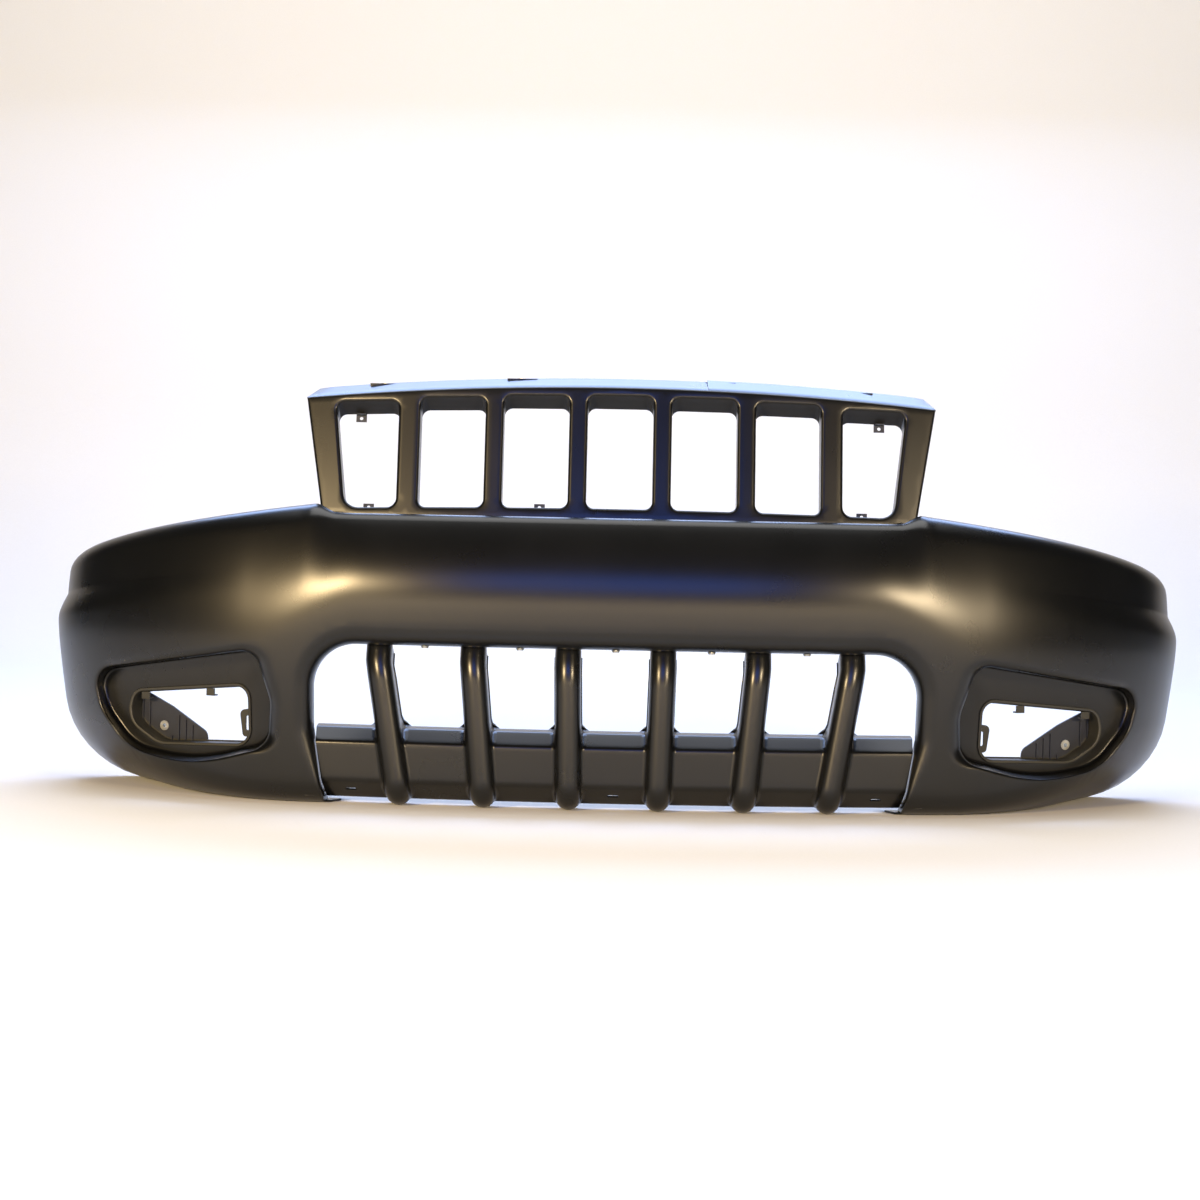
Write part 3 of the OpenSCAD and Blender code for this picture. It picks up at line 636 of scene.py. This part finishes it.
# lower grille: a valance with a shelf behind its ridge, and six bars
lowerGrille = {
    "radius": 3300, "depth": 45, "seam": 1.5, "wall": 3, "columns": 190,
    "profile": [(96, 114, 0), (74, 112, 12), (45.5, 93.5, 7), (48.5, 36, 14), (77, 8.5, 10), (96, 8, 0)],
    "barRadius": 19, "fillet": 9, "footX": (65, 190, 314), "headX": (69, 207, 345),
    "strap": ((52, 245), (72, 245), (72, 225), (50, 225)),
    "returnDepth": 26, "topBend": 90, "footBend": 22, "slots": (-385, 0, 385),
}


def profileLine(corners, steps, step):     # an open line of (depth, height) with its corners rounded
    out = [np.array(corners[0][:2], float)]
    for i in range(1, len(corners) - 1):
        out += cornerArc(corners[i - 1], corners[i], corners[i + 1], steps)
    out.append(np.array(corners[-1][:2], float))
    return divide(np.array(out), step, False)


def bentY(x, depth):                       # y of the plan arc at a depth behind the nose
    g = lowerGrille
    ring = g["radius"] + g["depth"] - depth
    return g["depth"] - cover["noseY"] + g["radius"] - np.sqrt(ring * ring - x * x)


def archHalf(z, g):                        # half width of the arch at height z
    a = arch
    knee = mix(a["footX"], a["x"], 0.4)
    return np.interp(z, [-10, 30, 112], [a["footX"], knee, a["x"]]) + g


def barPath():                             # centre line of a bar, as (depth, height, heading)
    g = lowerGrille
    path = [(d, 19.0, 90.0) for d in np.linspace(98, 72, 6)]
    for f in np.linspace(0, 90, 10)[1:]:
        a = math.radians(f)
        path.append((72 - g["footBend"] * math.sin(a), 19 + g["footBend"] * (1 - math.cos(a)), 90 - f))
    path += [(mix(50, 45, (z - 41) / 147), z, 0.0) for z in np.linspace(46, 188, 58)]
    for f in np.linspace(0, 32, 13)[1:]:
        a = math.radians(f)
        path.append((45 + g["topBend"] * (1 - math.cos(a)), 188 + g["topBend"] * math.sin(a), -f))
    return path


def barSection(r, f, h, flare):            # half of a bar's section, from its rear to its front line
    if h < f:                              # the bar stands out of the valance, with a fillet along it
        tip = math.acos(max(-1, min(1, (f - h) / (r + f))))
        middle = (math.sin(tip) * (r + f), h - f)
        ways = [mix(math.pi / 2, math.pi / 2 + tip, k / 6) for k in range(7)]
        side = [(middle[0] + f * math.cos(a), middle[1] + f * math.sin(a)) for a in ways]
    else:                                  # the bar has sides that run straight back
        tip = math.pi / 2
        side = [(r + flare + f * (1 - math.sin(a)), h - f * (1 - math.cos(a)))
                for a in np.radians((0, 30, 60, 90))]
        side += [(r + flare * (1 - k / 3) ** 2, (h - f) * (1 - k / 3)) for k in (1, 2, 3)]
    ways = [tip * (1 - k / 12) for k in range(1, 13)]
    return side + [(r * math.sin(a), -r * math.cos(a)) for a in ways]


def makeLowerGrille():
    g = lowerGrille
    line = profileLine(g["profile"], 6, 6)
    run = np.concatenate([[0], np.cumsum(np.linalg.norm(np.diff(line, axis=0), axis=1))])

    def placeOnValance(p):
        depth, z = np.interp(p[:, 1], run, line[:, 0]), np.interp(p[:, 1], run, line[:, 1])
        x = p[:, 0] / 430 * archHalf(z, -g["seam"])
        return np.stack([x, bentY(x, depth), z], -1)

    valance = Shape()
    slotRun = np.interp(-22, -line[:, 1], run)
    ring = circle(30)
    slots = []
    for x in g["slots"]:
        u = x / archHalf(22, -g["seam"]) * 430
        slots.append(np.stack(
            [u + 6 * np.sign(ring[:, 0]) + 2.5 * ring[:, 0], slotRun + 2.5 * ring[:, 1]], -1))
    across = np.linspace(-430, 430, g["columns"])
    grid = np.stack(np.meshgrid(across, run), -1).reshape(-1, 2)
    valance.fill(clear(grid, slots, 3), slots, [], placeOnValance, slots)
    pieces = [valance.build("valance", primedPlastic, g["wall"])]

    for side in (1, -1):
        for footX, headX in zip(g["footX"], g["headX"]):
            rings = []
            for d, z, heading in barPath():
                a = math.radians(heading)
                front = np.array((-math.cos(a), -math.sin(a)))
                middle = np.array((d, z))
                if z < 113.5:              # how far behind the bar's middle the valance lies
                    near = (line - middle) @ front
                    aside = np.abs((line - middle) @ np.array((-math.sin(a), math.cos(a))))
                    order = np.argsort(aside + (heading >= 1) * np.abs(near) * 0.2)[:2]
                    weight = 1 / (aside[order] + 1e-3)
                    h = -float((near[order] * weight).sum() / weight.sum()) + 0.3
                    fillet = g["fillet"]
                else:
                    h = mix(51, g["returnDepth"], float(ease(114, 132, z)))
                    fillet = mix(g["fillet"], 1.5, float(ease(113, 122, z)))
                rise = min(max(z - 111, 0), 10)
                flare = (10 - math.sqrt(100 - (10 - rise) ** 2)) if z > 111 else 0
                half = barSection(g["barRadius"], fillet, h, flare)
                section = [(-q, b) for q, b in half] + half[-2::-1]
                x = float(np.interp(z, [19, 212], [footX, headX])) * side
                places = [(x + q, middle - front * b) for q, b in section]
                rings.append(np.array([(u, bentY(u, depth), height) for u, (depth, height) in places]))
            bar = Shape()
            bar.rings(rings, False)
            pieces.append(bar.build("bar", primedPlastic, 2.6))

    rail = Shape()
    x = np.linspace(-400, 400, 81)
    rail.rings([np.stack([x, bentY(x, d), 0 * x + z], -1) for d, z in
                ((22, 241.5), (56, 241.5), (57.4, 242.1), (58, 243.5), (58, 263))], False)
    pieces.append(rail.build("rail", primedPlastic, g["wall"], (0, 0, -1)))
    for side in (1, -1):
        for headX in g["headX"]:
            strap = Shape()
            x = np.linspace(-10, 10, 3) + headX * side
            strap.rings([np.stack([x, bentY(x, d), 0 * x + z], -1) for d, z in g["strap"]], False)
            pieces.append(strap.build("strap", primedPlastic, 3))
        tab = Shape()
        r, n = rivet, cover["noseY"]
        ends = roundCorners([(r["side"], 97 - n, 6), (r["side"], r["rear"] - n, 6),
                             (395, r["rear"] - n, 2), (395, 97 - n, 2)], 5)
        bore = np.array((r["x"], r["depth"] - n)) + 4.2 * ring
        tab.fill([], [ends, bore], [], lambda p: np.stack(
            [p[:, 0] * side, p[:, 1], 0 * p[:, 0] + r["insertTop"]], -1), [bore], ends)
        pieces.append(tab.build("tab", primedPlastic, g["wall"], (0, 0, 1)))
    return joined("lowerGrilleShell", pieces)


lowerGrilleShell = makeLowerGrille()
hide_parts("lower_grille")
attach(lowerGrilleShell, "cover")
print("lower grille made, faces:", len(lowerGrilleShell.data.polygons))


# grille surround: a leaning, bent frame with seven rounded slots and a top flange
surround = {
    "lean": 10, "radius": 2600, "top": 475, "foot": 440, "height": 204, "fall": 14,
    "y": 118 - 222.75, "z": 422.2,
    "pitch": 125.5, "slotHalf": 49, "slotReturn": 35, "slotTop": 14, "slotLedge": 12, "slotRoll": 5,
    "edgeRoll": 4, "sideReturn": 12, "wall": 3, "flange": 57, "flangeStep": 130, "rises": (17, 19.5),
    "flangeTaper": 12, "tabs": (150, 360), "bore": 6.2,
}


def bow(x):                                # how far the bent front lies behind its middle
    r = surround["radius"]
    return r - np.sqrt(r * r - x * x)


def topEdge(x):
    return surround["height"] - surround["fall"] * (x / surround["top"]) ** 2


def lean(x, y, z):                         # from the surround's own frame to the part's
    a = math.radians(surround["lean"])
    return np.stack([x, surround["y"] + y * math.cos(a) + z * math.sin(a),
                     surround["z"] - y * math.sin(a) + z * math.cos(a)], -1)


def slotOutline(i, top, steps=8):
    c, h = i * surround["pitch"], surround["slotHalf"]
    z0, z1, s = 20, topEdge(i * surround["pitch"]) - top, 1 if i > 0 else -1
    if abs(i) < 3:
        corners = [(c - h, z0, 12), (c + h, z0, 12), (c + h, z1, 12), (c - h, z1, 12)]
    else:
        corners = [(s * 333, z0, 14), (s * 411, z0, 24), (s * 429, z1, 12), (s * 333, z1, 12)]
    return roundCorners(corners, steps)


def makeSurround():
    g = surround
    shape = Shape()
    a = math.radians(g["lean"])
    x = np.linspace(-444, 444, 149)
    bottom = np.stack([x, bow(x) * math.tan(a) + 0.6], -1)
    z = np.linspace(bottom[-1, 1], topEdge(g["top"]), 34)[1:-1]
    sideX = g["foot"] + (g["top"] - g["foot"]) * (z + 20) / (topEdge(g["top"]) + 20)
    xt = np.linspace(g["top"], -g["top"], 159)
    outline = np.concatenate([
        bottom, np.stack([sideX, z], -1), np.stack([xt, topEdge(xt)], -1), np.stack([-sideX, z], -1)[::-1]])
    normals = outward(outline, (0, 100))
    for k in (len(bottom) - 1, len(bottom) + len(z), len(bottom) + len(z) + len(xt) - 1, 0):
        normals[k] *= 1.35                 # the outline's own corners keep the width of its edge
    rings = []
    for k in range(6):
        f = math.radians(18 * k)
        p = outline - normals * g["edgeRoll"] * (1 - math.sin(f))
        rings.append(lean(p[:, 0], bow(p[:, 0]) + g["edgeRoll"] * (1 - math.cos(f)), p[:, 1]))
    depth = g["edgeRoll"] + g["sideReturn"]
    rings.append(lean(outline[:, 0], bow(outline[:, 0]) + depth, outline[:, 1]))
    shape.rings(rings)
    border = outline - normals * g["edgeRoll"]

    loops = []
    for i in range(-3, 4):
        edge, rear = slotOutline(i, g["slotTop"]), slotOutline(i, g["slotTop"] + g["slotLedge"])
        middle = edge.mean(0)
        out = outward(edge, middle)
        rings = []
        for k in range(6):
            f = math.radians(18 * k)
            p = edge + out * g["slotRoll"] * (1 - math.sin(f))
            rings.append(lean(p[:, 0], bow(p[:, 0]) + g["slotRoll"] * (1 - math.cos(f)), p[:, 1]))
        for share in (0.33, 0.66, 1):
            p = mix(edge, rear, share)
            rings.append(lean(p[:, 0], bow(p[:, 0]) + mix(g["slotRoll"], g["slotReturn"], share), p[:, 1]))
        shape.rings(rings)
        loops.append(edge + out * g["slotRoll"])
    grid = np.stack(np.meshgrid(np.arange(-470, 471, 8.0), np.arange(4, 204, 8.0)), -1).reshape(-1, 2)
    grid = clear(grid[within(grid, border)], loops + [border], 4)
    shape.fill(grid, loops + [border], [], lambda p: lean(p[:, 0], bow(p[:, 0]), p[:, 1]), loops, border)
    pieces = [shape.build("frame", primedPlastic, g["wall"])]

    # top flange in two lengths, the second one rising more steeply behind
    r = g["edgeRoll"]
    for (x0, x1), rise in zip(((-g["top"], g["flangeStep"] - 0.8), (g["flangeStep"], g["top"])), g["rises"]):
        f = math.radians(90 - g["lean"] - rise)
        slope = math.radians(rise)
        x = np.linspace(x0, x1, 100)
        start = lean(x, bow(x) + r - r * math.cos(f), topEdge(x) - r + r * math.sin(f))
        rings = []
        for share in (0, 0.03, 0.3, 0.6, 0.9, 1):
            back = share * g["flange"]
            p = start + np.array((0, back * math.cos(slope), back * math.sin(slope) - 0.6 * (share == 0)))
            ends = np.clip((np.abs(x) - g["top"] + 30) / 30, 0, 1)
            p[:, 0] -= np.sign(x) * ends * g["flangeTaper"] * share
            rings.append(p)
        flange = Shape()
        flange.rings(rings, False)
        pieces.append(flange.build("flange", primedPlastic, g["wall"], (0, 0, 1)))

    ring = Shape()                         # foot flange, screwed to the shelf
    x = np.linspace(-436, 436, 110)
    rings = []
    for back in (2, 20, 40, 42):
        y = g["y"] + g["radius"] - np.sqrt((g["radius"] - back) ** 2 - x * x)
        rings.append(np.stack([x, y, 0 * x + g["z"] + g["wall"]], -1))
    ring.rings(rings, False)
    pieces.append(ring.build("ring", primedPlastic, g["wall"], (0, 0, 1)))

    # mounting tabs under the flange's rear edge
    rise = math.radians(g["rises"][0])
    for side in (1, -1):
        for x in g["tabs"]:
            out = g["flange"] * np.array((0, math.cos(rise), math.sin(rise)))
            _, y, z = lean(x, bow(x), topEdge(x)) + out
            ends = roundCorners(
                [(x + 23, y - 6, 1), (x + 23, y + 28, 8), (x - 23, y + 28, 8), (x - 23, y - 6, 1)], 6)
            bore = np.array((x, y + 14)) + g["bore"] * circle(20)
            tab = Shape()
            tab.fill([], [ends, bore], [], lambda p: np.stack(
                [p[:, 0] * side, p[:, 1], 0 * p[:, 0] + z - 1.5], -1), [bore], ends)
            pieces.append(tab.build("tab", primedPlastic, 4.5, (0, 0, 1)))
    return joined("grilleSurroundShell", pieces)


surroundShell = makeSurround()
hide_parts("grille_surround")
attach(surroundShell, "cover")
# the slot undersides that look down take the darker raw material: painted shade
leaveRawWithPaintedShade(surroundShell, 540, 640, 0.4)
print("surround made, faces:", len(surroundShell.data.polygons))


# lamp bezels and brackets
bezel = {                                  # depths along the lamp's own axis
    "flange": 4.5, "lip": 2.5, "depth": 24, "wall": 2.4, "round": 1.6, "clips": (117, 231),
}


def tintedSurface(name, s):                # a fine grain and soft patches of tone; a metal when it has no IOR
    material, tree = startMaterial(name)
    place = addNode(tree, "ShaderNodeTexCoord")
    broad = addNode(tree, "ShaderNodeTexNoise", {"Scale": perMetre / s["patchSize"], "Detail": 4},
                    {"Vector": (place, "Object")})
    grain = addNode(tree, "ShaderNodeTexNoise", {"Scale": perMetre / s["grainSize"], "Detail": 2},
                    {"Vector": (place, "Object")})
    tone = addNode(tree, "ShaderNodeValToRGB", {}, {"Fac": (broad, "Fac")})
    ramp(tone, [(0.3, s["dark"]), (0.7, s["light"])])
    gloss = addNode(tree, "ShaderNodeMapRange", {"To Min": s["rough"][0], "To Max": s["rough"][1]},
                    {"Value": (broad, "Fac")})
    rise = addNode(tree, "ShaderNodeBump", {"Strength": s["grainStrength"], "Distance": s["grainDepth"] * mm},
                   {"Height": (grain, "Fac")})
    shader = addNode(
        tree, "ShaderNodeBsdfPrincipled", {"IOR": s["ior"]} if "ior" in s else {"Metallic": 1.0},
        {"Base Color": (tone, "Color"), "Roughness": (gloss, "Result"), "Normal": (rise, "Normal")})
    addNode(tree, "ShaderNodeOutputMaterial", {}, {"Surface": (shader, "BSDF")})
    return material


# unpainted moulding: a grey lift in the light against the primed skin round it
bezelPlastic = tintedSurface("unpaintedPolypropylene", {
    "dark": "#24241f", "light": "#2c2c27", "patchSize": 60, "grainSize": 0.7, "grainStrength": 0.12,
    "grainDepth": 0.03, "rough": (0.42, 0.52), "ior": 1.5})
# glass-filled bracket: a blue-black tone that sets the plate apart from its bezel
bracketPlastic = tintedSurface("glassFilledPolyamide", {
    "dark": "#0c1220", "light": "#131b2d", "patchSize": 40, "grainSize": 0.6, "grainStrength": 0.15,
    "grainDepth": 0.03, "rough": (0.4, 0.5), "ior": 1.53})
# rivets: an even, slightly waxy black
rivetNylon = tintedSurface("blackNylon", {
    "dark": "#101112", "light": "#17181a", "patchSize": 20, "grainSize": 0.5, "grainStrength": 0.1,
    "grainDepth": 0.02, "rough": (0.35, 0.45), "ior": 1.53})
# screws, lamp nuts and sleeves: pale metal whose coating varies from grey to straw
zincPlate = tintedSurface("zincPlatedSteel", {
    "dark": "#a9a79b", "light": "#c9c8c0", "patchSize": 9, "grainSize": 0.6, "grainStrength": 0.12,
    "grainDepth": 0.02, "rough": (0.26, 0.4)})
# clips and clip nuts: a dark, slightly blotched grey metal
phosphateSteel = tintedSurface("phosphatedSpringSteel", {
    "dark": "#3b3d3f", "light": "#55585b", "patchSize": 12, "grainSize": 0.5, "grainStrength": 0.2,
    "grainDepth": 0.02, "rough": (0.42, 0.55)})


def rowsOf(outline, normals, steps, side): # an outline stepped through (outward, depth) pairs
    rings = []
    for out, depth in steps:
        p = outline + normals * out
        rings.append(lampPlace(np.stack([p[:, 0], np.full(len(p), depth, float), p[:, 1]], -1), side))
    return rings


def block(side, u, v, z):                  # a small box in the lamp's frame
    corners = np.array([(a, b, c) for a in u for b in v for c in z], float)
    shape = Shape()
    shape.add(lampPlace(corners, side), [
        (0, 1, 3, 2), (4, 6, 7, 5), (0, 4, 5, 1), (2, 3, 7, 6), (0, 2, 6, 4), (1, 5, 7, 3)])
    return shape


def softened(obj, width):                  # a small real bevel on every edge
    bevel = obj.modifiers.new("edges", "BEVEL")
    bevel.width, bevel.segments, bevel.limit_method = width * mm, 2, "ANGLE"
    bevel.angle_limit = math.radians(35)


def makeBezel(side):
    b = bezel
    outline = divide(roundCorners(lamp["corners"], 10), 5)
    normals = outward(outline, outline.mean(0))
    r = b["round"]
    turn = np.radians((0, 30, 60, 90))
    steps = [(b["flange"], -0.3), (b["flange"], -b["lip"] + 0.8), (b["flange"] - 0.8, -b["lip"])]
    steps += [(-0.3 + r * (1 - math.sin(f)), -b["lip"] + r * (1 - math.cos(f))) for f in turn]
    steps += [(-0.3, 8), (-0.3, b["depth"] - 0.8), (-0.5, b["depth"]), (-b["wall"], b["depth"])]
    body = Shape()
    body.rings(rowsOf(outline, normals, steps, side))
    pieces = [body.build("body", bezelPlastic, 1.2, (0, -1, 0))]

    # spring clips that hang inside the upper edge, each with a bent foot
    for u in b["clips"]:
        (u0, z0, _), (u1, z1, _) = lamp["corners"][1::-1]
        top = z0 + (z1 - z0) * (u - u0) / (u1 - u0)
        for depth, low, high in ((5, 11, 1.5), (13, 12.5, 10.5)):
            clip = block(side, (u - 7, u + 7), (3, depth), (top - low, top - high))
            pieces.append(clip.build("clip", bezelPlastic))

    # slotted tab at the inboard side
    tab = Shape()
    edge = roundCorners([(47, 88, 3), (70, 88, 6), (76, 128, 8), (50, 132, 3)], 5)
    gap = roundCorners([(59, 98, 2.9), (65, 98, 2.9), (65, 120, 2.9), (59, 120, 2.9)], 5)
    tab.fill([], [edge, gap], [], lambda p: lampPlace(
        np.stack([p[:, 0], 0 * p[:, 0] + b["depth"] - 4, p[:, 1]], -1), side), [gap], edge)
    pieces.append(tab.build("tab", bezelPlastic, 2.5))
    return joined("bezelShell" + ("Right" if side > 0 else "Left"), pieces)


# the bracket behind each bezel keeps its plate and gains the upright ribs that stiffen it
def makeBracket(side):
    plate = Shape()
    back = bezel["depth"] + 0.3
    edge = roundCorners([(131, 43, 8), (262, 49, 20), (299, 120, 12), (295, 155, 8), (262, 157, 8),
                         (196, 127, 16), (135, 91, 14)], 6)
    bores = [np.array(p) + 2.8 * circle(20) for p in lamp["bosses"]]
    bores.append(np.array(lamp["nut"]) + 5 * circle(20))
    plate.fill([], [edge] + bores, [], lambda p: lampPlace(
        np.stack([p[:, 0], 0 * p[:, 0] + back, p[:, 1]], -1), side), bores, edge)
    pieces = [plate.build("plate", bracketPlastic, 2.8)]
    for u, low, high in ((160, 76, 100), (172, 70, 108), (184, 66, 114), (196, 62, 82), (224, 66, 84),
                         (236, 66, 132), (248, 70, 138)):
        rib = block(side, (u - 1, u + 1), (back - 2.2, back + 0.4), (low, high))
        pieces.append(rib.build("rib", bracketPlastic))
    return joined("bracketShell" + ("Right" if side > 0 else "Left"), pieces)


for side, word in ((1, "right"), (-1, "left")):
    shell = makeBezel(side)
    softened(shell, 0.5)
    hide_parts("fog_bezel_" + word)
    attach(shell, "cover")
    shell = makeBracket(side)
    softened(shell, 0.4)
    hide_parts("fog_bracket_" + word)
    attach(shell, "cover")
print("bezels and brackets made")

# fasteners and end brackets: the frame's own shapes with real edges and their materials
kept = {
    "fender_bracket_left": (bracketPlastic, "bracket_plastic", 0.6, "cover"),
    "fender_bracket_right": (bracketPlastic, "bracket_plastic", 0.6, "cover"),
    "rivet_body_left": (rivetNylon, "rivet_nylon", 0.5, "cover"),
    "rivet_body_right": (rivetNylon, "rivet_nylon", 0.5, "cover"),
    "rivet_pin_left": (rivetNylon, "rivet_nylon", 0.5, "rivet_pin_left"),
    "rivet_pin_right": (rivetNylon, "rivet_nylon", 0.5, "rivet_pin_right"),
    "surround_u_nuts": (phosphateSteel, "spring_steel", 0.25, "cover"),
    "slot_clips_lower": (phosphateSteel, "spring_steel", 0.3, "cover"),
    "slot_clips_upper": (phosphateSteel, "spring_steel", 0.3, "cover"),
    "mount_sleeves": (zincPlate, "zinc_screws", 0.3, "cover"),
    "surround_screws": (zincPlate, "zinc_screws", 0.4, "cover"),
    "lower_grille_screws": (zincPlate, "zinc_screws", 0.3, "cover"),
    "fender_screws_left": (zincPlate, "zinc_screws", 0.4, "cover"),
    "fender_screws_right": (zincPlate, "zinc_screws", 0.4, "cover"),
    "fog_lamp_nut_left": (zincPlate, "zinc_screws", 0.3, "cover"),
    "fog_lamp_nut_right": (zincPlate, "zinc_screws", 0.3, "cover"),
    "fog_bracket_screws_left": (zincPlate, "zinc_screws", 0.3, "cover"),
    "fog_bracket_screws_right": (zincPlate, "zinc_screws", 0.3, "cover"),
}
for name, (material, slotName, width, body) in kept.items():
    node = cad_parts[name]
    node.data.materials.clear()
    node.data.materials.append(material)
    softened(node, width)
    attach(node, body)
print("fasteners finished")


# studio
studio = {
    "camera": (0, -3.223, 0.415), "lens": 63.3, "pitch": 2.0, "turn": 0.46, "roll": 1.2,
    "floorFront": -2.7, "floorRear": 2.4, "sweep": 0.8, "halfWidth": 5, "height": 4.5, "gap": 0.5, "fibre": 4,
}


def makeCamera():
    data = bpy.data.cameras.new("camera")
    data.lens, data.sensor_width = studio["lens"], 36
    camera = bpy.data.objects.new("camera", data)
    bpy.context.scene.collection.objects.link(camera)
    turn = Matrix.Rotation(math.radians(studio["turn"]), 4, "Z")
    pitch = Matrix.Rotation(math.radians(90 - studio["pitch"]), 4, "X")
    roll = Matrix.Rotation(math.radians(studio["roll"]), 4, "Z")
    camera.matrix_world = Matrix.Translation(studio["camera"]) @ turn @ pitch @ roll
    bpy.context.scene.camera = camera


def addLight(name, place, target, size, power, colour):
    data = bpy.data.lights.new(name, "AREA")
    data.shape, data.size, data.size_y = "RECTANGLE", size[0], size[1]
    data.energy, data.color = power, fromHex(colour)[:3]
    light = bpy.data.objects.new(name, data)
    bpy.context.scene.collection.objects.link(light)
    light.location = place
    light.rotation_euler = (Vector(target) - Vector(place)).to_track_quat("-Z", "Y").to_euler()
    return light


makeCamera()
addLight("coolFront", (0, -3.4, 1.15), (0, 0, 0.3), (1.8, 0.9), 26, "#4474e6")
addLight("warmLeft", (-2.0, -2.9, 0.9), (0, 0, 0.3), (0.55, 0.4), 120, "#ffdfa8")
addLight("warmRight", (2.2, -2.9, 0.9), (0, 0, 0.3), (0.55, 0.4), 78, "#ffe4b8")
addLight("floorBounce", (0, -2.3, 0.06), (0, 0, 0.12), (3.0, 0.1), 12, "#ffe2b4")
addLight("skyBehind", (0, 2.4, 2.6), (0, 0, 0.5), (4, 1.2), 110, "#a4c4ff")
addLight("overhead", (0, 0.4, 4.2), (0, 0.6, 0), (4, 3), 115, "#ffffff")

floorMesh = Shape()
rear, sweep = studio["floorRear"], studio["sweep"]
run = [(studio["floorFront"], 0), (rear, 0)]
run += [(rear + sweep * math.sin(f), sweep - sweep * math.cos(f)) for f in np.radians(np.arange(10, 91, 10))]
run += [(rear + sweep, studio["height"])]
floorMesh.rings([
    np.array([(side * studio["halfWidth"] / mm, y / mm, z / mm - studio["gap"]) for y, z in run])
    for side in (-1, 1)], False)
paper, tree = startMaterial("matPaper")
place = addNode(tree, "ShaderNodeTexCoord")
fibre = addNode(
    tree, "ShaderNodeTexNoise", {"Scale": perMetre / studio["fibre"], "Detail": 4},
    {"Vector": (place, "Object")})
tone = addNode(tree, "ShaderNodeValToRGB", {}, {"Fac": (fibre, "Fac")})
ramp(tone, [(0, "#f1f1ef"), (1, "#fafaf8")])
shader = addNode(tree, "ShaderNodeBsdfPrincipled", {"Roughness": 0.9}, {"Base Color": (tone, "Color")})
addNode(tree, "ShaderNodeOutputMaterial", {}, {"Surface": (shader, "BSDF")})
backdrop = floorMesh.build("backdrop", paper, 0, (0, 0, 1), 90)

world = bpy.data.worlds.new("studioWorld")
bpy.context.scene.world = world
world.use_nodes = True
world.node_tree.nodes["Background"].inputs["Color"].default_value = fromHex("#9aa4b4")
world.node_tree.nodes["Background"].inputs["Strength"].default_value = 0.06
bpy.context.scene.view_settings.view_transform = "Standard"
print("studio lit")
